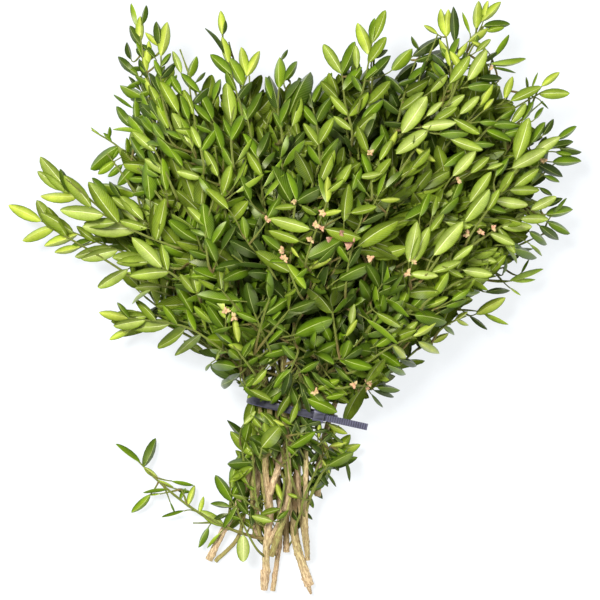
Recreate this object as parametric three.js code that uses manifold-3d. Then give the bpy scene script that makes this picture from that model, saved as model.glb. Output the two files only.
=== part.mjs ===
// A bunch of cut boxwood stems, lying down and bound with one cable tie.
//
// Millimetres, +Z up. The bunch lies on z = 0 with its cut ends towards -Y and its tips towards +Y.
// The origin is on the surface, under the middle of the tie's strap.
//
// Woody stems pass through the tie. Each carries leafy shoots: a square twig, its side twigs and pairs
// of opposite leaves. A shoot starts at its stem's bark and reaches to a point chosen by hand.
// Leaves are set by one rule from each twig's end down, and one that would touch a neighbour is left out.

import * as THREE from "three";
import { mergeVertices } from "three/addons/utils/BufferGeometryUtils.js";
import Module from "manifold-3d";

// Leaves of common box
const LEAF_LENGTH = 26;
const LEAF_WIDTH = 9.6;
const LEAF_RIDGE = 0.35; // how far the midrib stands above the leaf's middle line
const LEAF_EDGE_DROP = 0.85; // how far the edges lie below it
const LEAF_CURL = 0.12; // how far the tip bends back, as a share of the length
const LEAF_SECTIONS = [
  [0.3, 0.43],
  [0.65, 0.44],
]; // share of the length, and half the blade's width there as a share of its full width
const ROOT_HALF = 0.9; // half the length of the patch on the twig that a leaf grows from
const LEAF_PITCH = 10.5; // between two pairs on a grown twig
const LEAF_SPREAD = 46; // degrees between twig and leaf on a grown twig
const TIP_REACH = 17; // how far the last leaves stand beyond the twig's end
const LEAF_BUDGET = 430;
const PAIR_ROOM = 3; // between two pairs, or a pair and a side twig
const BARE_START = 8; // least length of a twig that has no leaves, at its root
const BARE_SHARE = 0.22; // and the share of the twig's length that has none
const UPPER_FIRST = 50; // height that counts as much as the whole range of a draw, in the leaves' order

// Twigs, buds and bark
const TWIG_RADIUS = [1.35, 0.85];
const SIDE_TWIG_RADIUS = [0.95, 0.75];
const SIDE_TWIGS = [
  { at: 0.4, side: 1 },
  { at: 0.62, side: -1 },
];
const SIDE_TWIG_TURN = 40; // degrees
const SIDE_TWIG_START = 4; // from the main twig's middle line to the side twig's first own section
const SHORTEST_SIDE_TWIG = 10;
const TWIG_STRETCH = 19; // longest stretch of a twig with no section
const MAIN_TWIG_SECTIONS = 8;
const ONWARD_SHARE = 0.18; // share of its span over which a shoot first runs along with its stem
const BEND_SHARE = 0.22; // share of the way to its tip at which its path bends
const BUD_LENGTH = 2;
const STEM_SIDES = 6;

// Room between pieces
const SEAT_GAP = 0.4; // between a shoot and the bark it grows from
const CLEARANCE = 0.32; // between any two other pieces
const OWN_CLEARANCE = 0.15; // between two leaves of one shoot

// The cable tie: strap, head and tail
const STRAP_WIDTH = 4.8;
const STRAP_THICK = 1.3;
const LOOP_HALF_WIDTH = 28.4;
const LOOP_HALF_HEIGHT = 15.4;
const LOOP_SQUARENESS = 2.6;
const LOOP_SETTLE = 0.5; // how much of the loop's round underside lies flat on the surface
const TIE_TURN = -12.8; // degrees about Z
const HEAD_AT = 16.5; // along the top of the loop, to the right of its middle
const HEAD_LENGTH = 7;
const HEAD_WIDTH = 7.8;
const HEAD_WALL = 1.4; // above the slot
const SLOT_WIDTH = 5.4;
const SLOT_HEIGHT = 1.9;
const STRAP_RISE = 2.7; // from the strap's root up to its free end, inside the head
const TAIL_LENGTH = 26;
const TAIL_DROP = 3;
const TOOTH_PITCH = 1.45;
const TOOTH_DEPTH = 0.35;
const TEETH = 16;

// Woody stems. Points run from the cut end, through the tie at y = 0, up into the leaves.
const STEMS = [
  {
    name: "stem_forked",
    radius: [2.4, 1.3],
    sections: 13,
    points: [
      [-16.6, -106, 5], [-15.6, -83, 9], [-13.4, -64, 13.5], [-15, -48, 18], [-16.4, -32, 22],
      [-13.6, 0, 25], [-20, 34, 39], [-31, 74, 60],
    ],
  },
  {
    name: "fork_upper",
    node: "stem_forked",
    radius: [1.9, 1.2],
    sections: 11,
    points: [
      [-15.2, -84, 9], [-7.6, -69, 15], [-3.4, -56, 19], [-2.4, -32, 24], [-4, 0, 26.2],
      [-5.6, 38, 46], [-2, 82, 64],
    ],
  },
  {
    name: "stem_lower_middle",
    radius: [1.6, 1.1],
    sections: 11,
    points: [
      [-12, -113, 2.4], [-9.2, -93, 3], [-7.4, -78, 3.6], [-8.4, -48, 8], [-10, -23, 14.5],
      [-9.4, 0, 21], [-14, 47, 34], [-21, 102, 47],
    ],
  },
  {
    name: "stem_thick_right",
    radius: [3, 1.3],
    sections: 12,
    points: [
      [10.5, -109.5, 3.6], [6.4, -96, 4.8], [2.2, -82, 6.4], [0.8, -64, 8], [3, -38, 12.5],
      [5, 0, 21.4], [14, 47, 35], [33, 94, 47],
    ],
  },
  {
    name: "stem_right",
    radius: [1.7, 1.2],
    sections: 11,
    points: [
      [9.4, -89.5, 12], [8.4, -75, 14], [8, -60, 16.5], [8.6, -33, 21.5],
      [8.8, 0, 25.2], [21, 40, 41], [42, 76, 60],
    ],
  },
  {
    name: "stem_left",
    radius: [2.3, 1.2],
    sections: 11,
    points: [
      [-51.6, -93.8, 2.6], [-41.6, -74, 5], [-33, -58, 8.5], [-26.6, -38, 13], [-19.4, 0, 19],
      [-36, 44, 33], [-58, 82, 41],
    ],
  },
  {
    name: "stem_stub",
    radius: [2, 1.1],
    sections: 10,
    points: [
      [-3.6, -89, 2.8], [-3.7, -75, 3.3], [-2.8, -48, 5.6], [-1.2, -23, 9], [0, 0, 13],
      [2, 47, 20], [6, 102, 28],
    ],
  },
  {
    name: "stem_lower_left",
    radius: [2.6, 1.2],
    sections: 10,
    points: [
      [-21.6, -80, 3.2], [-22.6, -58, 4.8], [-20, -28, 8.6], [-21, 0, 12.4], [-38, 40, 19], [-72, 68, 22],
    ],
  },
  {
    name: "stem_lower_right",
    radius: [2, 1.1],
    sections: 10,
    points: [[7.5, -72, 3], [8.6, -48, 3.2], [8, -23, 3.4], [8, 0, 3.6], [30, 34, 7.5], [64, 60, 9.5]],
  },
  {
    name: "stem_far_right",
    radius: [2, 1.2],
    sections: 9,
    points: [[15.6, -54, 6.5], [17.4, -28, 9], [25.2, 0, 12.4], [42, 40, 19], [80, 78, 22]],
  },
  {
    name: "stem_thin_left",
    radius: [1.3, 1],
    sections: 10,
    points: [
      [-47.5, -95, 1.6], [-33.6, -80, 1.8], [-28.5, -58, 2], [-22, -28, 2.6], [-13, 0, 3.7],
      [-34, 34, 7.5], [-58, 56, 9.5],
    ],
  },
  {
    name: "stem_thin_middle",
    radius: [1.2, 1],
    sections: 10,
    points: [[-15, -68, 1.7], [-13.6, -43, 2], [-8, -18, 2.6], [-3, 0, 3.1], [-12, 47, 8], [-24, 100, 10.5]],
  },
];

// Leafy shoots. tip: how far the last leaves reach. from: share of the stem's path where it starts.
// face: +1 shows the dark upper sides to the sky, -1 the pale undersides. flat: 0 has leaves all round
// the twig, 1 has them all in one plane. lift: raises the middle of the twig.
// bend: the corner that the twig's path bends round, where the rule's own isn't used. spread: length of
// its side twigs as a share of the usual. leaf: size of its leaves as a share of the usual.
const SHOOTS = [
  // Lowest layer
  { stem: "stem_thin_left", from: 0.72, tip: [-111, 66, 6], spread: 0.35, face: -1, flat: 0.9, lift: 0 },
  { stem: "stem_thin_left", from: 0.84, tip: [-110, 82, 8], spread: 0.6, face: -1, flat: 0.7, lift: 0 },
  { stem: "stem_thin_left", from: 0.98, tip: [-106, 126, 6], spread: 0.8, face: 1, flat: 0.7, lift: 0 },
  { stem: "stem_thin_middle", from: 0.74, tip: [-84, 158, 6], face: 1, flat: 0.6, lift: 0 },
  { stem: "stem_lower_right", from: 0.66, tip: [88, 42, 8], spread: 0.6, face: -1, flat: 0.7, lift: 0 },
  { stem: "stem_lower_right", from: 0.8, tip: [118, 64, 7], spread: 0.6, face: -1, flat: 0.7, lift: 0 },
  { stem: "stem_lower_right", from: 0.98, tip: [146, 92, 6], spread: 0.7, face: 1, flat: 0.6, lift: 0 },
  // Second layer
  { stem: "stem_lower_left", from: 0.68, tip: [-165, 120, 19], spread: 0.45, face: -1, flat: 0.95, lift: 3 },
  { stem: "stem_lower_left", from: 0.97, tip: [-102, 178, 24], spread: 0.5, face: 1, flat: 0.6, lift: 0 },
  { stem: "stem_stub", from: 0.76, tip: [-43, 240, 28], face: -1, flat: 0.6, lift: 0 },
  { stem: "stem_stub", from: 0.97, tip: [12, 208, 22], face: 1, flat: 0.6, lift: 0 },
  { stem: "stem_stub", from: 0.84, tip: [72, 218, 20], face: 1, flat: 0.6, lift: 0 },
  { stem: "stem_far_right", from: 0.55, tip: [64, 9, 18], face: 1, flat: 0.6, lift: 0 },
  { stem: "stem_far_right", from: 0.68, tip: [169, 114, 17], spread: 0.6, face: -1, flat: 0.7, lift: 0 },
  { stem: "stem_far_right", from: 0.985, tip: [174, 162, 18], spread: 0.6, face: 1, flat: 0.6, lift: 0 },
  { stem: "stem_far_right", from: 0.84, tip: [140, 210, 19], face: 1, flat: 0.5, lift: 2 },
  // Third layer
  { stem: "stem_left", from: 0.72, tip: [-46, 24, 26], spread: 0.6, face: 1, flat: 0.6, lift: 3 },
  { stem: "stem_left", from: 0.78, tip: [-150, 151, 34], spread: 0.6, face: -1, flat: 0.95, lift: 4 },
  { stem: "stem_left", from: 0.9, tip: [-122, 169, 32], spread: 0.6, face: 1, flat: 0.4, lift: 0 },
  { stem: "stem_left", from: 0.97, tip: [-94, 243, 36], spread: 0.55, face: -1, flat: 0.5, lift: 0 },
  { stem: "stem_lower_middle", from: 0.83, tip: [-73, 233, 46], spread: 0.7, face: -1, flat: 0.6, lift: 0 },
  { stem: "stem_lower_middle", from: 0.97, tip: [-26, 218, 48], face: -1, flat: 0.7, lift: 0 },
  { stem: "stem_thick_right", from: 0.76, tip: [-3, 215, 42], face: -1, flat: 0.6, lift: 0 },
  { stem: "stem_thick_right", from: 0.84, tip: [23, 220, 40], face: -1, flat: 0.6, lift: 0 },
  { stem: "stem_thick_right", from: 0.97, tip: [51, 238, 44], face: -1, flat: 0.5, lift: 0 },
  { stem: "stem_thick_right", from: 0.925, tip: [94, 242, 41], face: 1, flat: 0.4, lift: 0 },
  { stem: "stem_thick_right", from: 0.87, tip: [124, 246, 37], face: -1, flat: 0.5, lift: 0 },
  { stem: "stem_thick_right", from: 0.83, tip: [136, 212, 33], face: -1, flat: 0.6, lift: 0 },
  { stem: "stem_thick_right", from: 0.79, tip: [165, 198, 30], face: -1, flat: 0.7, lift: 0 },
  // Top layer
  { stem: "stem_forked", from: 0.76, tip: [-62, 62, 40], face: 1, flat: 0.5, lift: 4 },
  { stem: "stem_forked", from: 0.81, tip: [-98, 98, 48], face: 1, flat: 0.5, lift: 6 },
  { stem: "stem_forked", from: 0.9, tip: [-88, 160, 58], face: -1, flat: 0.7, lift: 4 },
  { stem: "stem_forked", from: 0.98, tip: [-48, 174, 68], face: -1, flat: 0.6, lift: 2 },
  { stem: "fork_upper", from: 0.72, tip: [-26, 60, 62], face: 1, flat: 0.4, lift: 4 },
  { stem: "fork_upper", from: 0.9, tip: [-14, 152, 80], face: 1, flat: 0.4, lift: 2 },
  { stem: "fork_upper", from: 0.98, tip: [24, 170, 74], face: -1, flat: 0.6, lift: 2 },
  { stem: "fork_upper", from: 0.78, tip: [28, 102, 80], face: 1, flat: 0.4, lift: 6 },
  { stem: "stem_right", from: 0.98, tip: [70, 168, 68], face: -1, flat: 0.7, lift: 2 },
  { stem: "stem_right", from: 0.9, tip: [112, 156, 58], face: -1, flat: 0.9, lift: 4 },
  { stem: "stem_right", from: 0.82, tip: [122, 102, 50], face: -1, flat: 0.8, lift: 6 },
  { stem: "stem_right", from: 0.75, tip: [90, 52, 44], face: 1, flat: 0.5, lift: 6 },
  { stem: "stem_right", from: 0.71, tip: [42, 36, 50], face: 1, flat: 0.4, lift: 2 },
  // Below the tie
  {
    stem: "stem_forked", from: 0.16, bend: [-56, -74, 9], tip: [-106, -20, 10],
    spread: 0.4, leaf: 0.62, face: -1, flat: 0.7, lift: 0,
  },
  { stem: "stem_left", from: 0.2, tip: [-42, -28, 14], spread: 0.5, face: 1, flat: 0.5, lift: 4 },
  { stem: "stem_left", from: 0.42, tip: [-36, -6, 28], spread: 0.5, face: 1, flat: 0.5, lift: 2 },
  { stem: "fork_upper", from: 0.4, tip: [-12, -7, 42], face: 1, flat: 0.5, lift: 0 },
  { stem: "stem_right", from: 0.3, tip: [32, -20, 30], spread: 0.4, face: 1, flat: 0.5, lift: 0 },
  { stem: "stem_far_right", from: 0.04, tip: [34, -14, 12], spread: 0.4, face: 1, flat: 0.5, lift: 0 },
];

const BARK = { color: 0xb08a62, roughness: 0.85, metalness: 0 };
const DARK_LEAF = { color: 0x4f7a2a, roughness: 0.5, metalness: 0 };
const PALE_LEAF = { color: 0x93ab55, roughness: 0.55, metalness: 0 };
const BLACK_PLASTIC = { color: 0x2b2b33, roughness: 0.4, metalness: 0 };

const UP = new THREE.Vector3(0, 0, 1);
const wasm = await Module();
wasm.setup();

const radians = THREE.MathUtils.degToRad;
const vector = (p) => new THREE.Vector3(...p);

// A draw from -1 to 1, the same each time for the same whole number.
function draw(seed) {
  const s = Math.sin(seed * 12.9898 + 78.233) * 43758.5453;
  return 2 * (s - Math.floor(s)) - 1;
}

// A closed three.js geometry as a solid.
function solidOf(geometry) {
  const bare = new THREE.BufferGeometry().setAttribute("position", geometry.getAttribute("position"));
  if (geometry.index) bare.setIndex(geometry.index);
  const merged = mergeVertices(bare, 1e-4);
  const vertProperties = new Float32Array(merged.attributes.position.array);
  const triVerts = new Uint32Array(merged.index.array);
  return new wasm.Manifold(new wasm.Mesh({ numProp: 3, vertProperties, triVerts }));
}

// A solid as a three.js geometry.
function geometryOf(solid) {
  const mesh = solid.getMesh();
  const positions = new Float32Array(mesh.numVert * 3);
  for (let i = 0; i < mesh.numVert; i++) {
    const first = i * mesh.numProp;
    positions.set(mesh.vertProperties.subarray(first, first + 3), i * 3);
  }
  return new THREE.BufferGeometry()
    .setAttribute("position", new THREE.BufferAttribute(positions, 3))
    .setIndex(new THREE.BufferAttribute(new Uint32Array(mesh.triVerts), 1));
}

// The largest connected piece of a solid, so that a scrap cut loose is dropped.
function mainPiece(solid) {
  const pieces = solid.decompose();
  return pieces.reduce((best, piece) => (piece.volume() > best.volume() ? piece : best));
}

// Adds a loop of corners to a skin and returns their numbers.
function addLoop(skin, points) {
  const first = skin.corners.length;
  skin.corners.push(...points);
  return points.map((_, i) => first + i);
}

// Joins two loops, both counterclockwise about the way of growth, by a band of triangles.
function bridge(skin, lower, upper) {
  const middle = (loop) => {
    const sum = new THREE.Vector3();
    for (const corner of loop) sum.add(skin.corners[corner]);
    return sum.divideScalar(loop.length);
  };
  const [lowerMiddle, upperMiddle] = [middle(lower), middle(upper)];
  const outwards = (corner, centre) => skin.corners[corner].clone().sub(centre).normalize();
  const mismatch = (turn) => {
    const partner = (i) => upper[(turn + Math.floor((i * upper.length) / lower.length)) % upper.length];
    const miss = (corner, i) => {
      const there = outwards(partner(i), upperMiddle);
      return outwards(corner, lowerMiddle).distanceToSquared(there);
    };
    return lower.reduce((sum, corner, i) => sum + miss(corner, i), 0);
  };
  const turns = upper.map((_, turn) => mismatch(turn));
  const first = turns.indexOf(Math.min(...turns));
  const a = (i) => lower[i % lower.length];
  const b = (j) => upper[(first + j) % upper.length];
  for (let i = 0, j = 0; i < lower.length || j < upper.length; ) {
    if ((i + 0.5) / lower.length <= (j + 0.5) / upper.length) {
      skin.faces.push(a(i), a(i + 1), b(j));
      i += 1;
    } else {
      skin.faces.push(a(i), b(j + 1), b(j));
      j += 1;
    }
  }
}

// Closes a loop with flat triangles. A start cap looks back along the way of growth.
function cap(skin, loop, isStart) {
  for (let i = 1; i + 1 < loop.length; i++) {
    const [a, b] = isStart ? [loop[i + 1], loop[i]] : [loop[i], loop[i + 1]];
    skin.faces.push(loop[0], a, b);
  }
}

// Closes a loop with a point.
function point(skin, loop, top) {
  const [last] = addLoop(skin, [top]);
  loop.forEach((corner, i) => skin.faces.push(corner, loop[(i + 1) % loop.length], last));
}

// A finished skin as a solid.
function solidSkin({ corners, faces }) {
  const numbers = corners.flatMap((corner) => corner.toArray());
  const geometry = new THREE.BufferGeometry().setIndex(faces);
  return solidOf(geometry.setAttribute("position", new THREE.Float32BufferAttribute(numbers, 3)));
}

// Directions at one place of a curve: ahead, to its left, and over it.
function frameAt(curve, t) {
  const ahead = curve.getTangent(t);
  const left = UP.clone().cross(ahead).normalize();
  return { ahead, left, over: ahead.clone().cross(left) };
}

// Corners of a round or square section at share t of a twig's or stem's path.
function section({ curve, radius, sides = 4 }, t, grow = 0) {
  const { left, over } = frameAt(curve, t);
  const size = THREE.MathUtils.lerp(...radius, t) + grow;
  return Array.from({ length: sides }, (_, i) => {
    const turn = (2 * Math.PI * (i + 0.5)) / sides;
    const corner = curve.getPoint(t).addScaledVector(left, size * Math.cos(turn));
    return corner.addScaledVector(over, size * Math.sin(turn));
  });
}

// A plain tapered tube along a path. grow: added to the radius and to both ends.
function tube(path, sections, grow = 0) {
  const skin = { corners: [], faces: [] };
  let loop;
  for (let k = 0; k <= sections; k++) {
    const t = k / sections;
    const push = k === 0 ? -grow : k === sections ? grow : 0;
    const ahead = path.curve.getTangent(t);
    const next = addLoop(skin, section(path, t, grow).map((corner) => corner.addScaledVector(ahead, push)));
    if (loop) bridge(skin, loop, next);
    else cap(skin, next, true);
    loop = next;
  }
  cap(skin, loop, false);
  return solidSkin(skin);
}

// The twigs of a shoot: the main one from the stem's heart to its tip, and the side twigs.
function twigsOf(shoot, stem, seed) {
  const start = stem.curve.getPoint(shoot.from);
  const reach = vector(shoot.tip).sub(start);
  const span = reach.length();
  const onward = stem.curve.getTangent(shoot.from);
  const bend = start.clone().addScaledVector(onward, ONWARD_SHARE * span).addScaledVector(reach, BEND_SHARE);
  bend.z += shoot.lift;
  if (shoot.bend) bend.copy(vector(shoot.bend));
  const last = vector(shoot.tip).sub(bend).normalize();
  const end = vector(shoot.tip).addScaledVector(last, -Math.min(TIP_REACH, 0.45 * span));
  const main = new THREE.QuadraticBezierCurve3(start, bend, end);
  const twigs = [{ curve: main, radius: TWIG_RADIUS, seed, bears: [] }];
  SIDE_TWIGS.forEach(({ at, side }, number) => {
    const { ahead, left, over } = frameAt(main, at);
    const turn = radians(SIDE_TWIG_TURN + 6 * draw(seed + 11 + number));
    const roll = radians(40 * (1 - shoot.flat) * draw(seed + 21 + number));
    const out = left.multiplyScalar(side * Math.cos(roll)).addScaledVector(over, Math.sin(roll));
    const size = span * (1 - at) * (0.55 + 0.1 * draw(seed + 31 + number)) * (shoot.spread ?? 1);
    if (size < SHORTEST_SIDE_TWIG) return;
    const root = main.getPoint(at);
    const middle = root.clone();
    middle.addScaledVector(ahead, 0.5 * size * Math.cos(turn));
    middle.addScaledVector(out, 0.5 * size * Math.sin(turn));
    const tip = middle.clone().addScaledVector(ahead, 0.45 * size).addScaledVector(out, 0.22 * size);
    const curve = new THREE.QuadraticBezierCurve3(root, middle, tip);
    const face = side > 0 ? 3 : 1;
    const ownSeed = seed + 400 * (number + 1);
    twigs.push({ curve, radius: SIDE_TWIG_RADIUS, seed: ownSeed, bears: [], t: at, face });
  });
  return twigs;
}

// Where each pair of leaves is rooted, where its leaves point and where their upper sides look.
// Pairs are counted from the twig's end, where leaves are smaller, closer and point more forward.
function pairsOf({ curve, seed }, { face: shown, flat, leaf = 1 }) {
  const length = curve.getLength();
  const pairs = [];
  let back = 1;
  for (let pair = 0; back < length * (1 - BARE_SHARE); pair++) {
    const { ahead, left, over } = frameAt(curve, 1 - back / length);
    const both = [];
    for (const side of [0, 1]) {
      const key = seed + pair * 31 + side * 7;
      const roll = radians((pair % 2) * (1 - flat) * 90 + side * 180 + 14 * draw(seed + pair * 31));
      const out = left.clone().multiplyScalar(Math.cos(roll)).addScaledVector(over, Math.sin(roll));
      const spread = radians(Math.min(LEAF_SPREAD, 20 + 10 * pair) + 7 * draw(key + 1));
      const along = ahead.clone().multiplyScalar(Math.cos(spread));
      along.addScaledVector(out, Math.sin(spread));
      const inward = ahead.clone().addScaledVector(along, -ahead.dot(along)).normalize();
      const skyward = over.clone().addScaledVector(along, -over.dot(along)).normalize();
      skyward.multiplyScalar(shown).addScaledVector(inward, 0.35 * draw(key + 2));
      const normal = inward.multiplyScalar(0.65 * (1 - flat)).addScaledVector(skyward, 0.35 + 0.65 * flat);
      const size = leaf * Math.min(1, 0.78 + 0.11 * pair) * (1 + 0.14 * draw(key + 3));
      const face = (Math.round(roll / (Math.PI / 2)) + 7) % 4;
      both.push({ t: 1 - back / length, along, normal: normal.normalize(), size, face });
    }
    pairs.push({ leaves: both, pair });
    back += LEAF_PITCH * Math.min(1, 0.55 + 0.15 * pair);
  }
  return pairs;
}

// The patch of a twig, between two sections close together, that a leaf or a side twig grows from.
function patchOf(twig, t, face) {
  const step = ROOT_HALF / twig.curve.getLength();
  const [low, high] = [section(twig, t - step), section(twig, t + step)];
  const next = (face + 1) % 4;
  return [low[face], low[next], high[next], high[face]];
}

// Grows a leaf from a loop: a blade with a low roof in section, pointed at its end, its tip bent back.
// No corner lies behind the plane of the loop, so the blade keeps clear of its own twig.
function growLeaf(skin, loop, { along, normal, size }) {
  const [a, b, , d] = loop.map((corner) => skin.corners[corner]);
  const outwards = b.clone().sub(a).cross(d.clone().sub(a)).normalize();
  const root = a.clone().add(skin.corners[loop[2]]).multiplyScalar(0.5);
  const length = LEAF_LENGTH * size;
  const width = LEAF_WIDTH * size;
  const across = along.clone().cross(normal).normalize();
  const up = across.clone().cross(along).normalize();
  const at = (share, side, height) => {
    const corner = root.clone().addScaledVector(along, length * share).addScaledVector(across, side);
    corner.addScaledVector(up, height - LEAF_CURL * length * share * share);
    const clear = corner.clone().sub(root).dot(outwards);
    return corner.addScaledVector(outwards, Math.max(0, SEAT_GAP - clear));
  };
  let last = loop;
  for (const [share, half] of LEAF_SECTIONS) {
    const edges = [-half * width, half * width].map((side) => at(share, side, -LEAF_EDGE_DROP));
    const ring = addLoop(skin, [edges[0], at(share, 0, LEAF_RIDGE), edges[1]]);
    bridge(skin, last, ring);
    last = ring;
  }
  point(skin, last, at(1, 0, 0));
}

// Grows a twig with all that stands on it. loop: what it grows from; without one it starts at a cap.
function growTwig(skin, twig, loop) {
  const length = twig.curve.getLength();
  const step = ROOT_HALF / length;
  let t = loop ? SIDE_TWIG_START / length : 0;
  let last = addLoop(skin, section(twig, t));
  if (loop) bridge(skin, loop, last);
  else cap(skin, last, true);
  const goTo = (target) => {
    const stretches = Math.ceil(((target - t) * length) / TWIG_STRETCH);
    for (let k = 1; k <= stretches; k++) {
      const next = addLoop(skin, section(twig, t + ((target - t) * k) / stretches));
      bridge(skin, last, next);
      last = next;
    }
    t = target;
  };
  const places = [...new Set(twig.bears.map((child) => child.t))].sort((p, q) => p - q);
  for (const place of places) {
    goTo(place - step);
    const high = addLoop(skin, section(twig, place + step));
    for (let face = 0; face < 4; face++) {
      const next = (face + 1) % 4;
      const patch = [last[face], last[next], high[next], high[face]];
      const child = twig.bears.find((one) => one.t === place && one.face === face);
      if (!child) skin.faces.push(patch[0], patch[1], patch[2], patch[0], patch[2], patch[3]);
      else if (child.curve) growTwig(skin, child, patch);
      else growLeaf(skin, patch, child);
    }
    last = high;
    t = place + step;
  }
  if (t < 1 - step) goTo(1);
  point(skin, last, twig.curve.getPoint(1).addScaledVector(twig.curve.getTangent(1), BUD_LENGTH));
}

// The tie's strap seen from its side, along the middle of its thickness: from its root in the head, down
// the right side, under the stems, up the left side, over the top and to the head's slot.
function strapLoop() {
  const middleZ = LOOP_HALF_HEIGHT - LOOP_SETTLE;
  const halfWidth = LOOP_HALF_WIDTH - STRAP_THICK / 2;
  const halfHeight = LOOP_HALF_HEIGHT - STRAP_THICK / 2;
  const onLoop = (degrees) => {
    const [c, s] = [Math.cos(radians(degrees)), Math.sin(radians(degrees))];
    const shaped = (value) => Math.sign(value) * Math.abs(value) ** (2 / LOOP_SQUARENESS);
    const z = Math.max(middleZ + halfHeight * shaped(s), STRAP_THICK / 2);
    return new THREE.Vector2(halfWidth * shaped(c), z);
  };
  const sideways = (HEAD_AT / halfWidth) ** LOOP_SQUARENESS;
  const rootZ = middleZ + halfHeight * (1 - sideways) ** (1 / LOOP_SQUARENESS);
  const line = [new THREE.Vector2(HEAD_AT, rootZ)];
  for (let degrees = 40; degrees >= -272; degrees -= 8) {
    const point = onLoop(degrees);
    point.y += STRAP_RISE * THREE.MathUtils.smoothstep(-degrees, 180, 262);
    line.push(point);
  }
  return { line, rootZ };
}

// A ribbon of the strap's width and thickness. Its last straight stretch is the tail, with teeth on top.
function ribbon(line) {
  const outer = [];
  const inner = [];
  line.forEach((point, i) => {
    const before = line[Math.max(i - 1, 0)];
    const after = line[Math.min(i + 1, line.length - 1)];
    const run = after.clone().sub(before).normalize();
    const offset = new THREE.Vector2(-run.y, run.x).multiplyScalar(STRAP_THICK / 2);
    outer.push(point.clone().add(offset));
    inner.unshift(point.clone().sub(offset));
  });
  const end = outer.pop();
  const run = end.clone().sub(outer.at(-1)).normalize();
  const drop = new THREE.Vector2(run.y, -run.x).multiplyScalar(TOOTH_DEPTH);
  for (let tooth = 0; tooth < TEETH; tooth++) {
    const foot = outer.at(-1).clone();
    outer.push(foot.clone().addScaledVector(run, TOOTH_PITCH * 0.7).add(drop));
    outer.push(foot.clone().addScaledVector(run, TOOTH_PITCH));
  }
  const outline = new THREE.Shape([...outer, end, ...inner]);
  const solid = new THREE.ExtrudeGeometry(outline, { depth: STRAP_WIDTH, bevelEnabled: false });
  return solidOf(solid.translate(0, 0, -STRAP_WIDTH / 2).rotateX(Math.PI / 2));
}

// The tie: the strap and its head in one piece, with the free end passing through the head's slot.
function cableTie() {
  const { line, rootZ } = strapLoop();
  const slotZ = rootZ + STRAP_RISE;
  const enter = HEAD_AT - HEAD_LENGTH / 2 - 1;
  const leave = HEAD_AT + HEAD_LENGTH / 2 + 1;
  line.push(new THREE.Vector2(enter, slotZ), new THREE.Vector2(leave, slotZ));
  line.push(new THREE.Vector2(leave + TAIL_LENGTH, slotZ - TAIL_DROP));
  const headBottom = rootZ - STRAP_THICK / 2;
  const headTop = slotZ + SLOT_HEIGHT / 2 + HEAD_WALL;
  const block = new THREE.BoxGeometry(HEAD_LENGTH, HEAD_WIDTH, headTop - headBottom);
  const slot = new THREE.BoxGeometry(HEAD_LENGTH + 2, SLOT_WIDTH, SLOT_HEIGHT);
  const head = solidOf(block.translate(HEAD_AT, 0, (headTop + headBottom) / 2));
  const cut = head.subtract(solidOf(slot.translate(HEAD_AT, 0, slotZ)));
  return cut.add(ribbon(line)).rotate([0, 0, TIE_TURN]);
}

// Everything placed so far, each piece with the node and the twig it belongs to.
const placed = [];

function place(node, solid, owner) {
  placed.push({ node, solid, owner, box: solid.boundingBox() });
}

function boxesApart(a, b, gap) {
  return [0, 1, 2].some((k) => a.min[k] > b.max[k] + gap || b.min[k] > a.max[k] + gap);
}

// True where a new piece keeps clear of all that is placed. ground: the twig or stem it grows from.
function isClear(node, solid, ground) {
  const box = solid.boundingBox();
  if (box.min[2] < 0) return false;
  return placed.every((other) => {
    if (boxesApart(box, other.box, CLEARANCE)) return true;
    if (other.owner === ground) return solid.intersect(other.solid).volume() < OWN_CLEARANCE;
    const gap = other.node === node ? OWN_CLEARANCE : CLEARANCE;
    return solid.minGap(other.solid, gap) >= gap;
  });
}

// One leaf or side twig alone, as a solid closed at the patch it grows from.
function solidAlone(twig, child) {
  const skin = { corners: [], faces: [] };
  const patch = addLoop(skin, patchOf(twig, child.t, child.face));
  cap(skin, patch, true);
  if (child.curve) growTwig(skin, child, patch);
  else growLeaf(skin, patch, child);
  return solidSkin(skin);
}

const stems = new Map();
for (const { node, name, points, radius, sections } of STEMS) {
  const curve = new THREE.CatmullRomCurve3(points.map(vector), false, "catmullrom");
  const stem = { node: node ?? name, curve, radius, sides: STEM_SIDES, sections };
  stems.set(name, stem);
  place(stem.node, tube(stem, sections), stem);
}
place("cable_tie", cableTie());

// Main twigs come first, then side twigs, then leaves from the ends of all twigs downwards.
const shoots = SHOOTS.map((shoot, number) => {
  const stem = stems.get(shoot.stem);
  const node = `leafy_shoot_${String(number + 1).padStart(2, "0")}`;
  const seat = tube(stem, stem.sections, SEAT_GAP);
  const [main, ...side] = twigsOf(shoot, stem, 1000 * (number + 1));
  return { ...shoot, node, seat, main, side };
});
for (const { node, main, seat } of shoots) {
  place(node, mainPiece(tube(main, MAIN_TWIG_SECTIONS).subtract(seat)), main);
}
const candidates = [];
for (const shoot of shoots) {
  const offer = (twig) => {
    for (const { leaves, pair } of pairsOf(twig, shoot)) {
      const height = twig.curve.getPoint(leaves[0].t).z;
      const rank = pair === 0 ? -Infinity : draw(twig.seed + pair) - height / UPPER_FIRST;
      candidates.push({ node: shoot.node, twig, leaves, rank });
    }
  };
  offer(shoot.main);
  for (const twig of shoot.side) {
    const solid = solidAlone(shoot.main, twig);
    if (!isClear(shoot.node, solid, shoot.main)) continue;
    shoot.main.bears.push(twig);
    place(shoot.node, solid, twig);
    offer(twig);
  }
}
candidates.sort((a, b) => a.rank - b.rank);
let grown = 0;
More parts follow.
